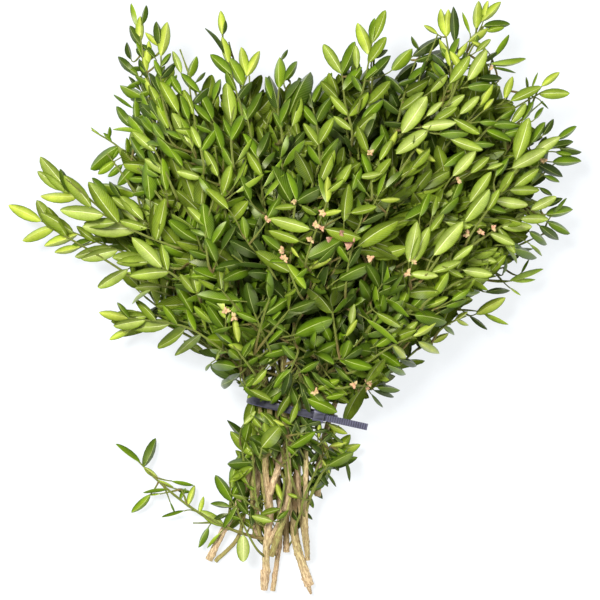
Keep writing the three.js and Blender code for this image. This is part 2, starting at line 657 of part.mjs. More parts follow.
for (const { node, twig, leaves } of candidates) {
  const length = twig.curve.getLength();
  const { t } = leaves[0];
  const crowded = twig.bears.some((child) => Math.abs(child.t - t) * length < PAIR_ROOM);
  if (crowded || t * length < BARE_START || grown >= LEAF_BUDGET) continue;
  for (const leaf of leaves) {
    const solid = solidAlone(twig, leaf);
    if (!isClear(node, solid, twig)) continue;
    twig.bears.push(leaf);
    place(node, solid, leaf);
    grown += 1;
  }
}

const bunch = new THREE.Group();

function addMesh(name, solid, look) {
  const mesh = new THREE.Mesh(geometryOf(solid), new THREE.MeshStandardMaterial(look));
  mesh.name = name;
  bunch.add(mesh);
}

for (const node of new Set([...stems.values()].map((stem) => stem.node))) {
  const tubes = placed.filter((piece) => piece.node === node).map((piece) => piece.solid);
  addMesh(node, wasm.Manifold.union(tubes), BARK);
}
addMesh("cable_tie", placed.find((piece) => piece.node === "cable_tie").solid, BLACK_PLASTIC);
for (const { node, main, seat, face } of shoots) {
  const skin = { corners: [], faces: [] };
  growTwig(skin, main);
  addMesh(node, mainPiece(solidSkin(skin).subtract(seat)), face > 0 ? DARK_LEAF : PALE_LEAF);
}

export default bunch;
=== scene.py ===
# %% [markdown]
# # A tied bunch of cut boxwood
#
# The solids come packed from the CAD step and are loaded first, as a frame that nothing moves. Every stem, shoot
# and the cable tie then get a finer piece that stands in for the solid: thin leaves with veins, cracked bark, cut
# ends. Buds and more leaves are added. The finer pieces are worked out with numpy as whole arrays.

import bpy
import numpy as np
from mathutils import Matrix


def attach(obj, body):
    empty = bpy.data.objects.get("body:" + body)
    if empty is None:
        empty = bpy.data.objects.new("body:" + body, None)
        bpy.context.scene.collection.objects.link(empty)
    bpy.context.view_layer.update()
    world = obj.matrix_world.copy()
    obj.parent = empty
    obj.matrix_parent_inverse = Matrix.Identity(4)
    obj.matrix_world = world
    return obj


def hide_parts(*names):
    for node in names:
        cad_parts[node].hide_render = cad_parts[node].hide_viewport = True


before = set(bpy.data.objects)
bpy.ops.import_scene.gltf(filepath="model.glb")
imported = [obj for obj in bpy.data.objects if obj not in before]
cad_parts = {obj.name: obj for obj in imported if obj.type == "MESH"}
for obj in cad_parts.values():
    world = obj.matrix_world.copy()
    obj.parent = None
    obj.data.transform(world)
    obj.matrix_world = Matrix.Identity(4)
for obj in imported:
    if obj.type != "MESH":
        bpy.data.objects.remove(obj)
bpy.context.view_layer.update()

MM = 0.001
print("nodes in the frame:", len(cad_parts))

# %% [markdown]
# ## Camera
# The picture was taken from straight above. Leaves of common box and the width of the strap both say that one
# pixel is 0.6 mm on a plane half way up the bunch. The camera is set so that it sees just that.

# %% Camera
PIXEL = 0.6
FRAME_PIXELS = 600
MIDDLE_HEIGHT = 45.0
CAMERA_AT = (4.8, 66.8)
CAMERA_ABOVE = 1400.0
SENSOR = 36.0


def new_object(name, data):
    """An object that shows the given mesh, lamp or camera, linked into the scene."""
    made = bpy.data.objects.new(name, data)
    bpy.context.scene.collection.objects.link(made)
    return made


camera = new_object("camera", bpy.data.cameras.new("camera"))
camera.data.sensor_width = SENSOR
camera.data.lens = SENSOR * CAMERA_ABOVE / (PIXEL * FRAME_PIXELS)
camera.data.clip_end = 10
camera.location = (CAMERA_AT[0] * MM, CAMERA_AT[1] * MM, (MIDDLE_HEIGHT + CAMERA_ABOVE) * MM)
bpy.context.scene.camera = camera


def seen(px, py, z):
    """The point at height z that a pixel shows: the pixel's way from the picture's middle, times the scale,
    times how far below the camera that height is."""
    depth = (MIDDLE_HEIGHT + CAMERA_ABOVE - z) / CAMERA_ABOVE
    x = CAMERA_AT[0] + (px - FRAME_PIXELS / 2) * PIXEL * depth
    return np.array([x, CAMERA_AT[1] + (FRAME_PIXELS / 2 - py) * PIXEL * depth, z])


print("lens", round(camera.data.lens, 1), "mm")

# %% [markdown]
# ## Small helpers
# A draw gives the same value for the same seed each time, so the bunch grows alike in every run. A path is either a
# spline through points, for a woody stem, or a bow over three points, for a twig.


# %% Draws and directions
def draw(seed):
    """A value from -1 to 1 for each seed: the fraction of a large multiple of a sine, doubled, less one."""
    s = np.sin(np.asarray(seed, float) * 12.9898 + 78.233) * 43758.5453
    return 2 * (s - np.floor(s)) - 1


def unit(v):
    """Vectors divided by their lengths."""
    return v / np.maximum(np.linalg.norm(v, axis=-1, keepdims=True), 1e-9)


def frames(ahead):
    """For each direction ahead: the level direction to its left, and the one over it."""
    left = unit(np.cross([0.0, 0.0, 1.0], ahead))
    return left, np.cross(ahead, left)


# %% Paths
def spline(points, t):
    """Points at shares t of the path through the given points. Between two of them it is a cubic whose slopes
    there are half the step between their neighbours; past both ends the last step is repeated."""
    p = np.asarray(points, float)
    p = np.vstack([2 * p[0] - p[1], p, 2 * p[-1] - p[-2]])
    place = np.clip(np.atleast_1d(t), 0, 1) * (len(p) - 3)
    i = np.minimum(place.astype(int), len(p) - 4)
    w = (place - i)[:, None]
    a, b, c, d = p[i], p[i + 1], p[i + 2], p[i + 3]
    return b + 0.5 * w * (c - a + w * (2 * a - 5 * b + 4 * c - d + w * (3 * (b - c) + d - a)))


def bow(corners, t):
    """Points at shares t of the curve that leaves the first corner for the second and arrives at the third."""
    a, b, c = np.asarray(corners, float)
    t = np.atleast_1d(t)[:, None]
    return (1 - t) ** 2 * a + 2 * (1 - t) * t * b + t**2 * c


def bow_ahead(corners, t):
    """Directions along that curve."""
    a, b, c = np.asarray(corners, float)
    t = np.atleast_1d(t)[:, None]
    return unit((1 - t) * (b - a) + t * (c - b))


def length_of(points):
    """Length of a line of points."""
    return float(np.linalg.norm(np.diff(points, axis=0), axis=1).sum())


def distance_along(points):
    """How far along a line each of its points is: the steps before it, added up."""
    return np.concatenate([[0], np.cumsum(np.linalg.norm(np.diff(points, axis=0), axis=1))])


def round_turns(sides):
    """Angles of the corners of a ring, spread evenly from half a step on."""
    return 2 * np.pi * (np.arange(sides) + 0.5) / sides


def squared_off(v, power):
    """A sine or cosine pulled towards a square: its size to the power of two over the given one, sign kept."""
    return np.sign(v) * np.abs(v) ** (2 / power)


SHARES = np.linspace(0, 1, 201)

# %% [markdown]
# ## Meshes
# Each piece is gathered in a heap: corners in millimetres, faces, which finish a face has, and for each corner its
# place on the leaf or the bark (across and along) and two numbers that tint it. Then it becomes one mesh.


# %% The heap
SHARP_FROM = 20.0  # degrees between faces from which an edge stays crisp, such as a folded leaf's rib


class Heap:
    """Corners and faces of one piece, gathered before its mesh is made."""

    def __init__(self):
        self.corners, self.faces, self.finishes = [], [], []
        self.places, self.tints = [], []
        self.count = 0

    def add(self, corners, faces, finishes, places, tints):
        """Adds corners (n x 3), faces as lists of corner numbers, the number of each face's finish, and for each
        corner its place (n x 2) and its tints (n x 2)."""
        self.corners.append(corners)
        self.faces += (np.asarray(faces) + self.count).tolist()
        self.finishes.append(np.broadcast_to(finishes, len(faces)))
        self.places.append(places)
        self.tints.append(np.broadcast_to(tints, (len(corners), 2)))
        self.count += len(corners)


def piece_from(heap, name, materials, slot, *nodes):
    """Turns a heap into an object that rides on the root and stands for the given CAD nodes."""
    mesh = bpy.data.meshes.new(name)
    mesh.from_pydata(np.concatenate(heap.corners) * MM, [], heap.faces)
    for material in materials:
        mesh.materials.append(material)
    mesh.polygons.foreach_set("material_index", np.concatenate(heap.finishes).astype(np.int32))
    on_corner = np.empty(len(mesh.loops), np.int32)
    mesh.loops.foreach_get("vertex_index", on_corner)
    places = np.concatenate(heap.places).astype(np.float32)
    mesh.uv_layers.new(name="place").uv.foreach_set("vector", places[on_corner].ravel())
    tints = np.concatenate(heap.tints).astype(np.float32)
    for k, tint in enumerate(("tone", "young")):
        mesh.attributes.new(tint, "FLOAT", "POINT").data.foreach_set("value", tints[:, k])
    mesh.shade_smooth()
    mesh.set_sharp_from_angle(angle=np.radians(SHARP_FROM))
    mesh.update()
    piece = new_object(name, mesh)
    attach(piece, "root")
    if nodes:
        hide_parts(*nodes)


# %% A tube
CAP_RISE = 0.15  # how far the middle of an end stands out, for its mean radius


def band(rows, sides):
    """Corner numbers of the four-sided faces between rings, ring after ring."""
    k, i = np.meshgrid(np.arange(rows - 1), np.arange(sides), indexing="ij")
    j = (i + 1) % sides
    return np.stack([k * sides + i, k * sides + j, (k + 1) * sides + j, (k + 1) * sides + i], -1).reshape(-1, 4)


def tube(heap, points, radii, sides, finish, tints, squared=0.0, ends=None):
    """A tube: rings of corners round a path, each at the radius given for its row and side, joined by four-sided
    faces and closed by a fan to a middle corner at each end. squared pulls the section towards a square."""
    rows = len(points)
    ahead = unit(np.gradient(points, axis=0))
    left, over = frames(ahead)
    turn = round_turns(sides)
    reach = np.broadcast_to(radii, (sides, rows)).T * (1 + squared * np.cos(4 * turn))
    ring = left[:, None] * np.cos(turn)[:, None] + over[:, None] * np.sin(turn)[:, None]
    body = (points[:, None] + ring * reach[..., None]).reshape(-1, 3)
    tips = points[[0, -1]] + ahead[[0, -1]] * np.array([[-CAP_RISE], [CAP_RISE]]) * reach.mean()
    along = distance_along(points)
    places = np.stack(np.broadcast_arrays(np.arange(sides) / sides, along[:, None]), -1).reshape(-1, 2)
    i, j = np.arange(sides), (np.arange(sides) + 1) % sides
    low = np.stack([j, i, np.full(sides, rows * sides)], -1)
    high = np.stack([i, j, np.full(sides, rows * sides + 1)], -1) + [[(rows - 1) * sides] * 2 + [0]]
    tints = np.broadcast_to(tints, (rows, 2))
    spread = np.repeat(tints, sides, axis=0)
    corners = np.vstack([body, tips])
    places = np.vstack([places, [[0.5, 0], [0.5, along[-1]]]])
    spread = np.vstack([spread, tints[[0, -1]]])
    heap.add(corners, band(rows, sides), finish, places, spread)
    caps = np.vstack([low, high]) + heap.count - len(corners)
    heap.faces += caps.tolist()
    heap.finishes.append(np.broadcast_to(finish if ends is None else ends, len(caps)))


# %% [markdown]
# ## The leaf
# A leaf of common box is 15 to 30 mm long, widest a little below its middle, thick, and slightly domed, with its
# edges turned down. It is a closed shell here: a top and an underside, five corners wide and eight long, that
# share their rim, so one leaf has 56 faces and thousands of them stay light.

# %% Leaves
ROWS = np.array([0.0, 0.08, 0.22, 0.42, 0.62, 0.8, 0.93, 1.0])
COLUMNS = np.array([-1.0, -0.5, 0.0, 0.5, 1.0])
THICKNESS = 0.4
STALK_HALF = 0.42
TIP_HALF = 0.22
RIB_RISE = 0.3
FLOOR_GAP = 0.35
TOP_HEIGHT = 87.4
PRESS = 1.6


def pressed(z):
    """Heights eased into the range from the surface to the bunch's top: a logarithm of an exponential at both
    ends, so what is well inside keeps its height."""
    z = FLOOR_GAP + PRESS * np.logaddexp(0, (z - FLOOR_GAP) / PRESS)
    return TOP_HEIGHT - PRESS * np.logaddexp(0, (TOP_HEIGHT - z) / PRESS)


def leaf_faces():
    """Corner numbers of one leaf's faces: the top's grid in rows, then the underside's, turned over, which has
    corners of its own only inside the rim."""
    rows, columns = len(ROWS), len(COLUMNS)
    top = np.arange(rows * columns).reshape(rows, columns)
    under = top.copy()
    under[1:-1, 1:-1] = rows * columns + np.arange((rows - 2) * (columns - 2)).reshape(rows - 2, -1)
    grid = lambda g: np.stack([g[:-1, :-1], g[:-1, 1:], g[1:, 1:], g[1:, :-1]], -1).reshape(-1, 4)
    return np.vstack([grid(top), grid(under)[:, ::-1]])


LEAF_FACES = leaf_faces()
LEAF_FINISH = np.repeat([0, 1], len(LEAF_FACES) // 2)


def blades(heap, leaves):
    """All leaves of a piece. Half the width follows a power of the sine of the way along, so it swells fast and
    ends in a point, blunter the smaller the power. The middle line bends back and sways aside by the square of the
    way along. The edges drop with the way across, folding along the rib, and the blade turns a little about its
    middle line. What would sink into the surface, or stand out of the bunch's height, is pressed softly back."""
    leaf = {key: np.concatenate([np.atleast_1d(one[key]) for one in leaves]) for key in leaves[0]}
    s, u = ROWS[None, :, None], COLUMNS[None, None, :]
    give = lambda key: leaf[key][:, None, None]
    half = give("width") / 2 * np.sin(np.pi * s**0.95) ** give("blunt")
    half = np.maximum(half, STALK_HALF + (TIP_HALF - STALK_HALF) * s)
    swell = 2 * half / give("width")
    rise = -give("curl") * give("length") * s**2 + give("arch") * give("length") * np.sin(np.pi * s)
    height = rise + (RIB_RISE * (1 - np.abs(u)) - give("drop") * np.abs(u) ** 2) * swell
    height = height - give("fold") * np.abs(u) * half
    turn = give("twist") * s
    sideways = u * half * np.cos(turn) + give("sway") * give("length") * s**2
    height = height + u * half * np.sin(turn)
    across = np.cross(leaf["along"], leaf["up"])
    way = lambda key, amount: leaf[key][:, None, None] * amount[..., None]
    top = leaf["root"][:, None, None] + way("along", give("length") * s + 0 * u) + way("up", height)
    top = top + across[:, None, None] * sideways[..., None]
    full = (1 - u**2) * np.sin(np.pi * s) ** 0.5
    under = top - way("up", THICKNESS * full * np.ones_like(height))
    count, inner = len(leaf["length"]), (len(ROWS) - 2) * (len(COLUMNS) - 2)
    top = top.reshape(count, len(ROWS) * len(COLUMNS), 3)
    corners = np.concatenate([top, under[:, 1:-1, 1:-1].reshape(count, inner, 3)], axis=1)
    corners[..., 2] = pressed(corners[..., 2])
    places = np.stack(np.broadcast_arrays((u + 1) / 2, s), -1)[0]
    places = np.concatenate([places.reshape(-1, 2), places[1:-1, 1:-1].reshape(-1, 2)])
    each = corners.shape[1]
    faces = (LEAF_FACES[None] + np.arange(count)[:, None, None] * each).reshape(-1, 4)
    tints = np.repeat(np.stack([leaf["tone"], leaf["young"]], -1), each, axis=0)
    heap.add(corners.reshape(-1, 3), faces, np.tile(LEAF_FINISH, count), np.tile(places, (count, 1)), tints)
    return count


print("faces in one leaf:", len(LEAF_FACES))

# %% [markdown]
# ## Where leaves stand
# Leaves of box come in opposite pairs. Pairs are counted from a twig's end down: the last ones are small, close
# together and point forward, older ones stand wider apart and spread more. Each pair is turned a quarter against
# the next, less so on a shoot that lies flat. These are the rules that the solids were grown by. The finer leaves
# stand closer, are smaller and stray more, so they follow the same twigs but don't lie leaf on leaf.

# %% Pairs of leaves
LEAF_LENGTH = 26
LEAF_WIDTH = 9.6
LEAF_PITCH = 10.5
LEAF_SPREAD = 46
BARE_SHARE = 0.22
BARE_START = 8
PAIR_ROOM = 3
LEAF_CURL = 0.12
TIP_REACH = 17
BASE_LIGHT = 0.36
# middle of a patch in mm, its reach both ways, and how much lighter or darker the foliage is there: partly its own
# colour, partly painted light and shade
PATCHES = [
    (-140, 110, 55, 60, 0.26), (-85, 215, 60, 50, 0.1), (-65, 50, 45, 45, 0.26), (115, 70, 45, 34, 0.38),
    (-5, -40, 60, 40, 0.1), (5, 85, 62, 60, -0.25), (62, 200, 30, 34, -0.4), (60, 145, 50, 40, -0.2),
]
# what differs from leaf to leaf: its middle value, the spread of the draw, and the draw's step from the seed
GROWN_SHAPE = {
    "blunt": (0.6, 0.1, 17), "arch": (0.03, 0.05, 7), "drop": (0.8, 0.7, 8), "fold": (0.48, 0.34, 15),
    "twist": (0, 0.4, 9),
}
READ_SHAPE = {
    "curl": (0.09, 0.06, 3), "arch": (0.05, 0.03, 4), "drop": (0.7, 0.5, 5), "fold": (0.48, 0.3, 10),
    "twist": (0, 0.2, 6), "sway": (0, 0.05, 7),
}
WIDER = 1.02  # grown leaves against the solid ones


def varied(shape, seed):
    """The values of a shape table for a seed: the middle plus the spread times a draw."""
    return {name: middle + spread * draw(seed + step) for name, (middle, spread, step) in shape.items()}


def brightness_at(x, y):
    """How light the foliage is at a place: one value for all, and a bell added for each patch. The left, the right and
    the neck are light; the heart and two patches high on the right are dark. This is partly the leaves' own colour and
    partly painted light and shade."""
    value = BASE_LIGHT
    for cx, cy, rx, ry, change in PATCHES:
        value = value + change * np.exp(-(((x - cx) / rx) ** 2) - ((y - cy) / ry) ** 2)
    return value


def reset(leaf):
    """Turns a leaf's along so that its tip stays between the surface and the bunch's top, and squares up to it."""
    reach = leaf["length"]
    low = (FLOOR_GAP + 1 - leaf["root"][:, 2]) / reach
    high = (TOP_HEIGHT - leaf["root"][:, 2]) / reach
    leaf["along"][:, 2] = np.clip(leaf["along"][:, 2], low, np.maximum(high, low))
    leaf["along"] = unit(leaf["along"])
    leaf["up"] = unit(leaf["up"] - leaf["along"] * (leaf["along"] * leaf["up"]).sum(1, keepdims=True))
    return leaf


def leaves_on(corners, radius, seed, face, flat, leaf, pitch, stray, tone=0.0, spread=LEAF_SPREAD, skip=()):
    """Every leaf of one twig as arrays: root, along, up and its sizes. The rule is that of the solids, with draws
    for the way, bend, fold and turn of each blade, larger ones in the heart."""
    length = length_of(bow(corners, SHARES))
    backs = [1.0]
    while backs[-1] < length * (1 - BARE_SHARE):
        backs.append(backs[-1] + pitch * min(1, 0.55 + 0.15 * (len(backs) - 1)))
    back = np.array(backs[:-1])
    pair = np.arange(len(back))
    t = 1 - back / length
    clear = t * length >= BARE_START
    for place in skip:
        clear &= np.abs(t - place) * length >= PAIR_ROOM
    pair, t = np.repeat(pair[clear], 2), np.repeat(t[clear], 2)
    if not len(t):
        return []
    side = np.tile([0, 1], len(t) // 2)
    ahead = bow_ahead(corners, t)
    left, over = frames(ahead)
    key = seed + pair * 31 + side * 7
    roll = np.radians((pair % 2) * (1 - flat) * 90 + side * 180 + 14 * draw(seed + pair * 31))[:, None]
    out = left * np.cos(roll) + over * np.sin(roll)
    angle = np.radians(np.minimum(spread, 20 + 10 * pair) + 7 * draw(key + 1))[:, None]
    along = ahead * np.cos(angle) + out * np.sin(angle)
    wander = np.stack([draw(key + 11), draw(key + 12), draw(key + 13)], -1)
    along = unit(along + stray * wander)
    inward = unit(ahead - along * (ahead * along).sum(1, keepdims=True))
    skyward = unit(over - along * (over * along).sum(1, keepdims=True))
    skyward = skyward * face + inward * 0.35 * draw(key + 2)[:, None]
    up = inward * 0.65 * (1 - flat) + skyward * (0.35 + 0.65 * flat)
    size = leaf * np.minimum(1, 0.78 + 0.11 * pair) * (1 + 0.14 * draw(key + 3))
    thick = radius[0] + (radius[1] - radius[0]) * t
    lie = bow(corners, t)
    heart = np.exp(-(((lie[:, 0] + 5) / 95) ** 2) - ((lie[:, 1] - 65) / 90) ** 2)
    lean = ((0.25 + 0.65 * heart) * draw(key + 16))[:, None]
    up = up * np.cos(lean) + np.cross(along, up) * np.sin(lean)
    # tone: the patches, which are partly painted light and shade, the painted shade of a lower layer, given as tone,
    # and draws
    shade = brightness_at(lie[:, 0], lie[:, 1]) + tone + 0.28 * draw(key + 4) + 0.14 * draw(seed + 3)
    tip = np.clip(1 - 0.35 * pair, 0, 1) * (0.25 + 0.75 * np.clip(shade * 1.6, 0, 1))
    return [
        reset({
            "root": lie + out * (thick * 0.6)[:, None],
            "along": along,
            "up": up,
            "length": LEAF_LENGTH * size,
            "width": LEAF_WIDTH * size * WIDER * (1 + 0.12 * draw(key + 5)),
            "curl": LEAF_CURL + 0.04 + (0.12 + 0.1 * heart) * draw(key + 6),
            "sway": (0.07 + 0.1 * heart) * draw(key + 14),
            "tone": np.clip(shade, 0, 1),
            "young": np.clip(0.5 * tip + 0.15 * draw(key + 10), 0, 1),
            **varied(GROWN_SHAPE, key),
        })
    ]


# %% Twigs
NOTED_EVERY = 8  # of the points of a path, so many apart are noted
TWIG_ROW = 3.2
JOINT_SWELL = 0.22
TWIG_SQUARED = 0.06
twig_points = []


def twig(heap, corners, radius, seed):
    """A twig along its path: slim, a little square, and thicker by a fifth at each joint between two lengths.
    Its path is noted for what grows from it later."""
    twig_points.append(bow(corners, SHARES[::NOTED_EVERY]))
    points = bow(corners, SHARES)
    length = length_of(points)
    rows = max(6, int(length / TWIG_ROW))
    t = np.linspace(0, 1, rows)
    joints = 1 + JOINT_SWELL * np.cos(2 * np.pi * (1 - t) * length / LEAF_PITCH) ** 8
    thick = (radius[0] + (radius[1] - radius[0]) * t) * joints * np.where(t > 1 - 2.5 / rows, 0.75, 1)
    tints = np.stack([np.full(rows, 0.5 + 0.1 * draw(seed)), np.clip(t * 1.3, 0, 1)], -1)
    tube(heap, bow(corners, t), thick, 6, 2, tints, squared=TWIG_SQUARED)


# %% [markdown]
# ## Woody stems and shoots
# The same tables that the solids were grown from: where each stem runs, and where each shoot leaves it and how
# far it reaches. Only the twigs are thinner here than in the solids.

# %% Stems
# radii at both ends, then the points of the path from the cut end up
STEMS = {
    "stem_forked": ((2.4, 1.3), [
        [-16.6, -106, 5], [-15.6, -83, 9], [-13.4, -64, 13.5], [-15, -48, 18], [-16.4, -32, 22], [-13.6, 0, 25],
        [-20, 34, 39], [-31, 74, 60],
    ]),
    "fork_upper": ((1.9, 1.2), [
        [-15.2, -84, 9], [-7.6, -69, 15], [-3.4, -56, 19], [-2.4, -32, 24], [-4, 0, 26.2], [-5.6, 38, 46],
        [-2, 82, 64],
    ]),
    "stem_lower_middle": ((1.6, 1.1), [
        [-12, -113, 2.4], [-9.2, -93, 3], [-7.4, -78, 3.6], [-8.4, -48, 8], [-10, -23, 14.5], [-9.4, 0, 21],
        [-14, 47, 34], [-21, 102, 47],
    ]),
    "stem_thick_right": ((3, 1.3), [
        [10.5, -109.5, 3.6], [6.4, -96, 4.8], [2.2, -82, 6.4], [0.8, -64, 8], [3, -38, 12.5], [5, 0, 21.4],
        [14, 47, 35], [33, 94, 47],
    ]),
    "stem_right": ((1.7, 1.2), [
        [9.4, -89.5, 12], [8.4, -75, 14], [8, -60, 16.5], [8.6, -33, 21.5], [8.8, 0, 25.2], [21, 40, 41],
        [42, 76, 60],
    ]),
    "stem_left": ((2.3, 1.2), [
        [-51.6, -93.8, 2.6], [-41.6, -74, 5], [-33, -58, 8.5], [-26.6, -38, 13], [-19.4, 0, 19], [-36, 44, 33],
        [-58, 82, 41],
    ]),
    "stem_stub": ((2, 1.1), [
        [-3.6, -89, 2.8], [-3.7, -75, 3.3], [-2.8, -48, 5.6], [-1.2, -23, 9], [0, 0, 13], [2, 47, 20], [6, 102, 28],
    ]),
    "stem_lower_left": ((2.6, 1.2), [
        [-21.6, -80, 3.2], [-22.6, -58, 4.8], [-20, -28, 8.6], [-21, 0, 12.4], [-38, 40, 19], [-72, 68, 22],
    ]),
    "stem_lower_right": ((2, 1.1), [
        [7.5, -72, 3], [8.6, -48, 3.2], [8, -23, 3.4], [8, 0, 3.6], [30, 34, 7.5], [64, 60, 9.5],
    ]),
    "stem_far_right": ((2, 1.2), [
        [15.6, -54, 6.5], [17.4, -28, 9], [25.2, 0, 12.4], [42, 40, 19], [80, 78, 22],
    ]),
    "stem_thin_left": ((1.3, 1), [
        [-47.5, -95, 1.6], [-33.6, -80, 1.8], [-28.5, -58, 2], [-22, -28, 2.6], [-13, 0, 3.7], [-34, 34, 7.5],
        [-58, 56, 9.5],
    ]),
    "stem_thin_middle": ((1.2, 1), [
        [-15, -68, 1.7], [-13.6, -43, 2], [-8, -18, 2.6], [-3, 0, 3.1], [-12, 47, 8], [-24, 100, 10.5],
    ]),
}

# %% Shoots that the solids have
# stem, then its shoots: share of its path, tip, face shown, flat, lift, length of side twigs, leaf size
SHOOTS_ON = [
    ("stem_thin_left", [
        (0.72, (-111, 66, 6), -1, 0.9, 0, 0.35, 1), (0.84, (-110, 82, 8), -1, 0.7, 0, 0.6, 1),
        (0.98, (-106, 126, 6), 1, 0.7, 0, 0.8, 1),
    ]),
    ("stem_thin_middle", [
        (0.74, (-84, 158, 6), 1, 0.6, 0, 1, 1),
    ]),
    ("stem_lower_right", [
        (0.66, (88, 42, 8), -1, 0.7, 0, 0.6, 1), (0.8, (118, 64, 7), -1, 0.7, 0, 0.6, 1),
        (0.98, (146, 92, 6), 1, 0.6, 0, 0.7, 1),
    ]),
    ("stem_lower_left", [
        (0.68, (-165, 120, 19), -1, 0.95, 3, 0.45, 1), (0.97, (-102, 178, 24), 1, 0.6, 0, 0.5, 1),
    ]),
    ("stem_stub", [
        (0.76, (-43, 240, 28), -1, 0.6, 0, 1, 1), (0.97, (12, 208, 22), 1, 0.6, 0, 1, 1),
        (0.84, (72, 218, 20), 1, 0.6, 0, 1, 1),
    ]),
    ("stem_far_right", [
        (0.55, (64, 9, 18), 1, 0.6, 0, 1, 1), (0.68, (169, 114, 17), -1, 0.7, 0, 0.6, 1),
        (0.985, (174, 162, 18), 1, 0.6, 0, 0.6, 1), (0.84, (140, 210, 19), 1, 0.5, 2, 1, 1),
    ]),
    ("stem_left", [
        (0.72, (-46, 24, 26), 1, 0.6, 3, 0.6, 1), (0.78, (-150, 151, 34), -1, 0.95, 4, 0.6, 1),
        (0.9, (-122, 169, 32), 1, 0.4, 0, 0.6, 1), (0.97, (-94, 243, 36), -1, 0.5, 0, 0.55, 1),
    ]),
    ("stem_lower_middle", [
        (0.83, (-73, 233, 46), -1, 0.6, 0, 0.7, 1), (0.97, (-26, 218, 48), -1, 0.7, 0, 1, 1),
    ]),
    ("stem_thick_right", [
        (0.76, (-3, 215, 42), -1, 0.6, 0, 1, 1), (0.84, (23, 220, 40), -1, 0.6, 0, 1, 1),
        (0.97, (51, 238, 44), -1, 0.5, 0, 1, 1), (0.925, (94, 242, 41), 1, 0.4, 0, 1, 1),
        (0.87, (124, 246, 37), -1, 0.5, 0, 1, 1), (0.83, (136, 212, 33), -1, 0.6, 0, 1, 1),
        (0.79, (165, 198, 30), -1, 0.7, 0, 1, 1),
    ]),
    ("stem_forked", [
        (0.76, (-62, 62, 40), 1, 0.5, 4, 1, 1), (0.81, (-98, 98, 48), 1, 0.5, 6, 1, 1),
        (0.9, (-88, 160, 58), -1, 0.7, 4, 1, 1), (0.98, (-48, 174, 68), -1, 0.6, 2, 1, 1),
    ]),
    ("fork_upper", [
        (0.72, (-26, 60, 62), 1, 0.4, 4, 1, 1), (0.9, (-14, 152, 80), 1, 0.4, 2, 1, 1),
        (0.98, (24, 170, 74), -1, 0.6, 2, 1, 1), (0.78, (28, 102, 80), 1, 0.4, 6, 1, 1),
    ]),
    ("stem_right", [
        (0.98, (70, 168, 68), -1, 0.7, 2, 1, 1), (0.9, (112, 156, 58), -1, 0.9, 4, 1, 1),
        (0.82, (122, 102, 50), -1, 0.8, 6, 1, 1), (0.75, (90, 52, 44), 1, 0.5, 6, 1, 1),
        (0.71, (42, 36, 50), 1, 0.4, 2, 1, 1),
    ]),
    ("stem_forked", [
        (0.16, (-106, -20, 10), -1, 0.7, 0, 0.4, 0.62),
    ]),
    ("stem_left", [
        (0.2, (-42, -28, 14), 1, 0.5, 4, 0.5, 1), (0.42, (-36, -6, 28), 1, 0.5, 2, 0.5, 1),
    ]),
    ("fork_upper", [
        (0.4, (-12, -7, 42), 1, 0.5, 0, 1, 1),
    ]),
    ("stem_right", [
        (0.3, (32, -20, 30), 1, 0.5, 0, 0.4, 1),
    ]),
    ("stem_far_right", [
        (0.04, (34, -14, 12), 1, 0.5, 0, 0.4, 1),
    ]),
]
SHOOTS = [(stem, *row) for stem, rows in SHOOTS_ON for row in rows]
BENDS = {43: (-56, -74, 9)}  # the long low shoot turns here
TWIG_RADIUS = (1.2, 0.65)
SIDE_TWIG_RADIUS = (0.85, 0.55)
SIDE_TWIGS = ((0.4, 1), (0.62, -1))
SIDE_TWIG_TURN = 40
SHORTEST_SIDE_TWIG = 10


def shoot_paths(stem, share, tip, flat, lift, reach_out, bend, seed):
    """The shoot's main twig and its two side twigs, each as the three corners of its path, by the same rule as
    the solids: on with the stem for a while, then to the tip."""
    points = STEMS[stem][1]
    start = spline(points, share)[0]
    onward = unit(spline(points, min(share + 1e-4, 1)) - spline(points, share - 1e-4))[0]
    tip = np.array(tip, float)
    reach = tip - start
    span = np.linalg.norm(reach)
    corner = start + onward * 0.18 * span + reach * 0.22 + [0, 0, lift]
    if bend:
        corner = np.array(bend, float)
    end = tip - unit(tip - corner) * min(TIP_REACH, 0.45 * span)
    main = np.array([start, corner, end])
    paths = [(main, TWIG_RADIUS, seed, 0)]
    for number, (at, side) in enumerate(SIDE_TWIGS):
        ahead = bow_ahead(main, at)[0]
        left, over = frames(ahead)
        turn = np.radians(SIDE_TWIG_TURN + 6 * draw(seed + 11 + number))
        roll = np.radians(40 * (1 - flat) * draw(seed + 21 + number))
        out = left * side * np.cos(roll) + over * np.sin(roll)
        size = span * (1 - at) * (0.55 + 0.1 * draw(seed + 31 + number)) * reach_out
        if size < SHORTEST_SIDE_TWIG:
            continue
        root = bow(main, at)[0]
        middle = root + ahead * 0.5 * size * np.cos(turn) + out * 0.5 * size * np.sin(turn)
        far = middle + ahead * 0.45 * size + out * 0.22 * size
        paths.append((np.array([root, middle, far]), SIDE_TWIG_RADIUS, seed + 400 * (number + 1), at))
    return paths


print("stems", len(STEMS), "shoots", len(SHOOTS))
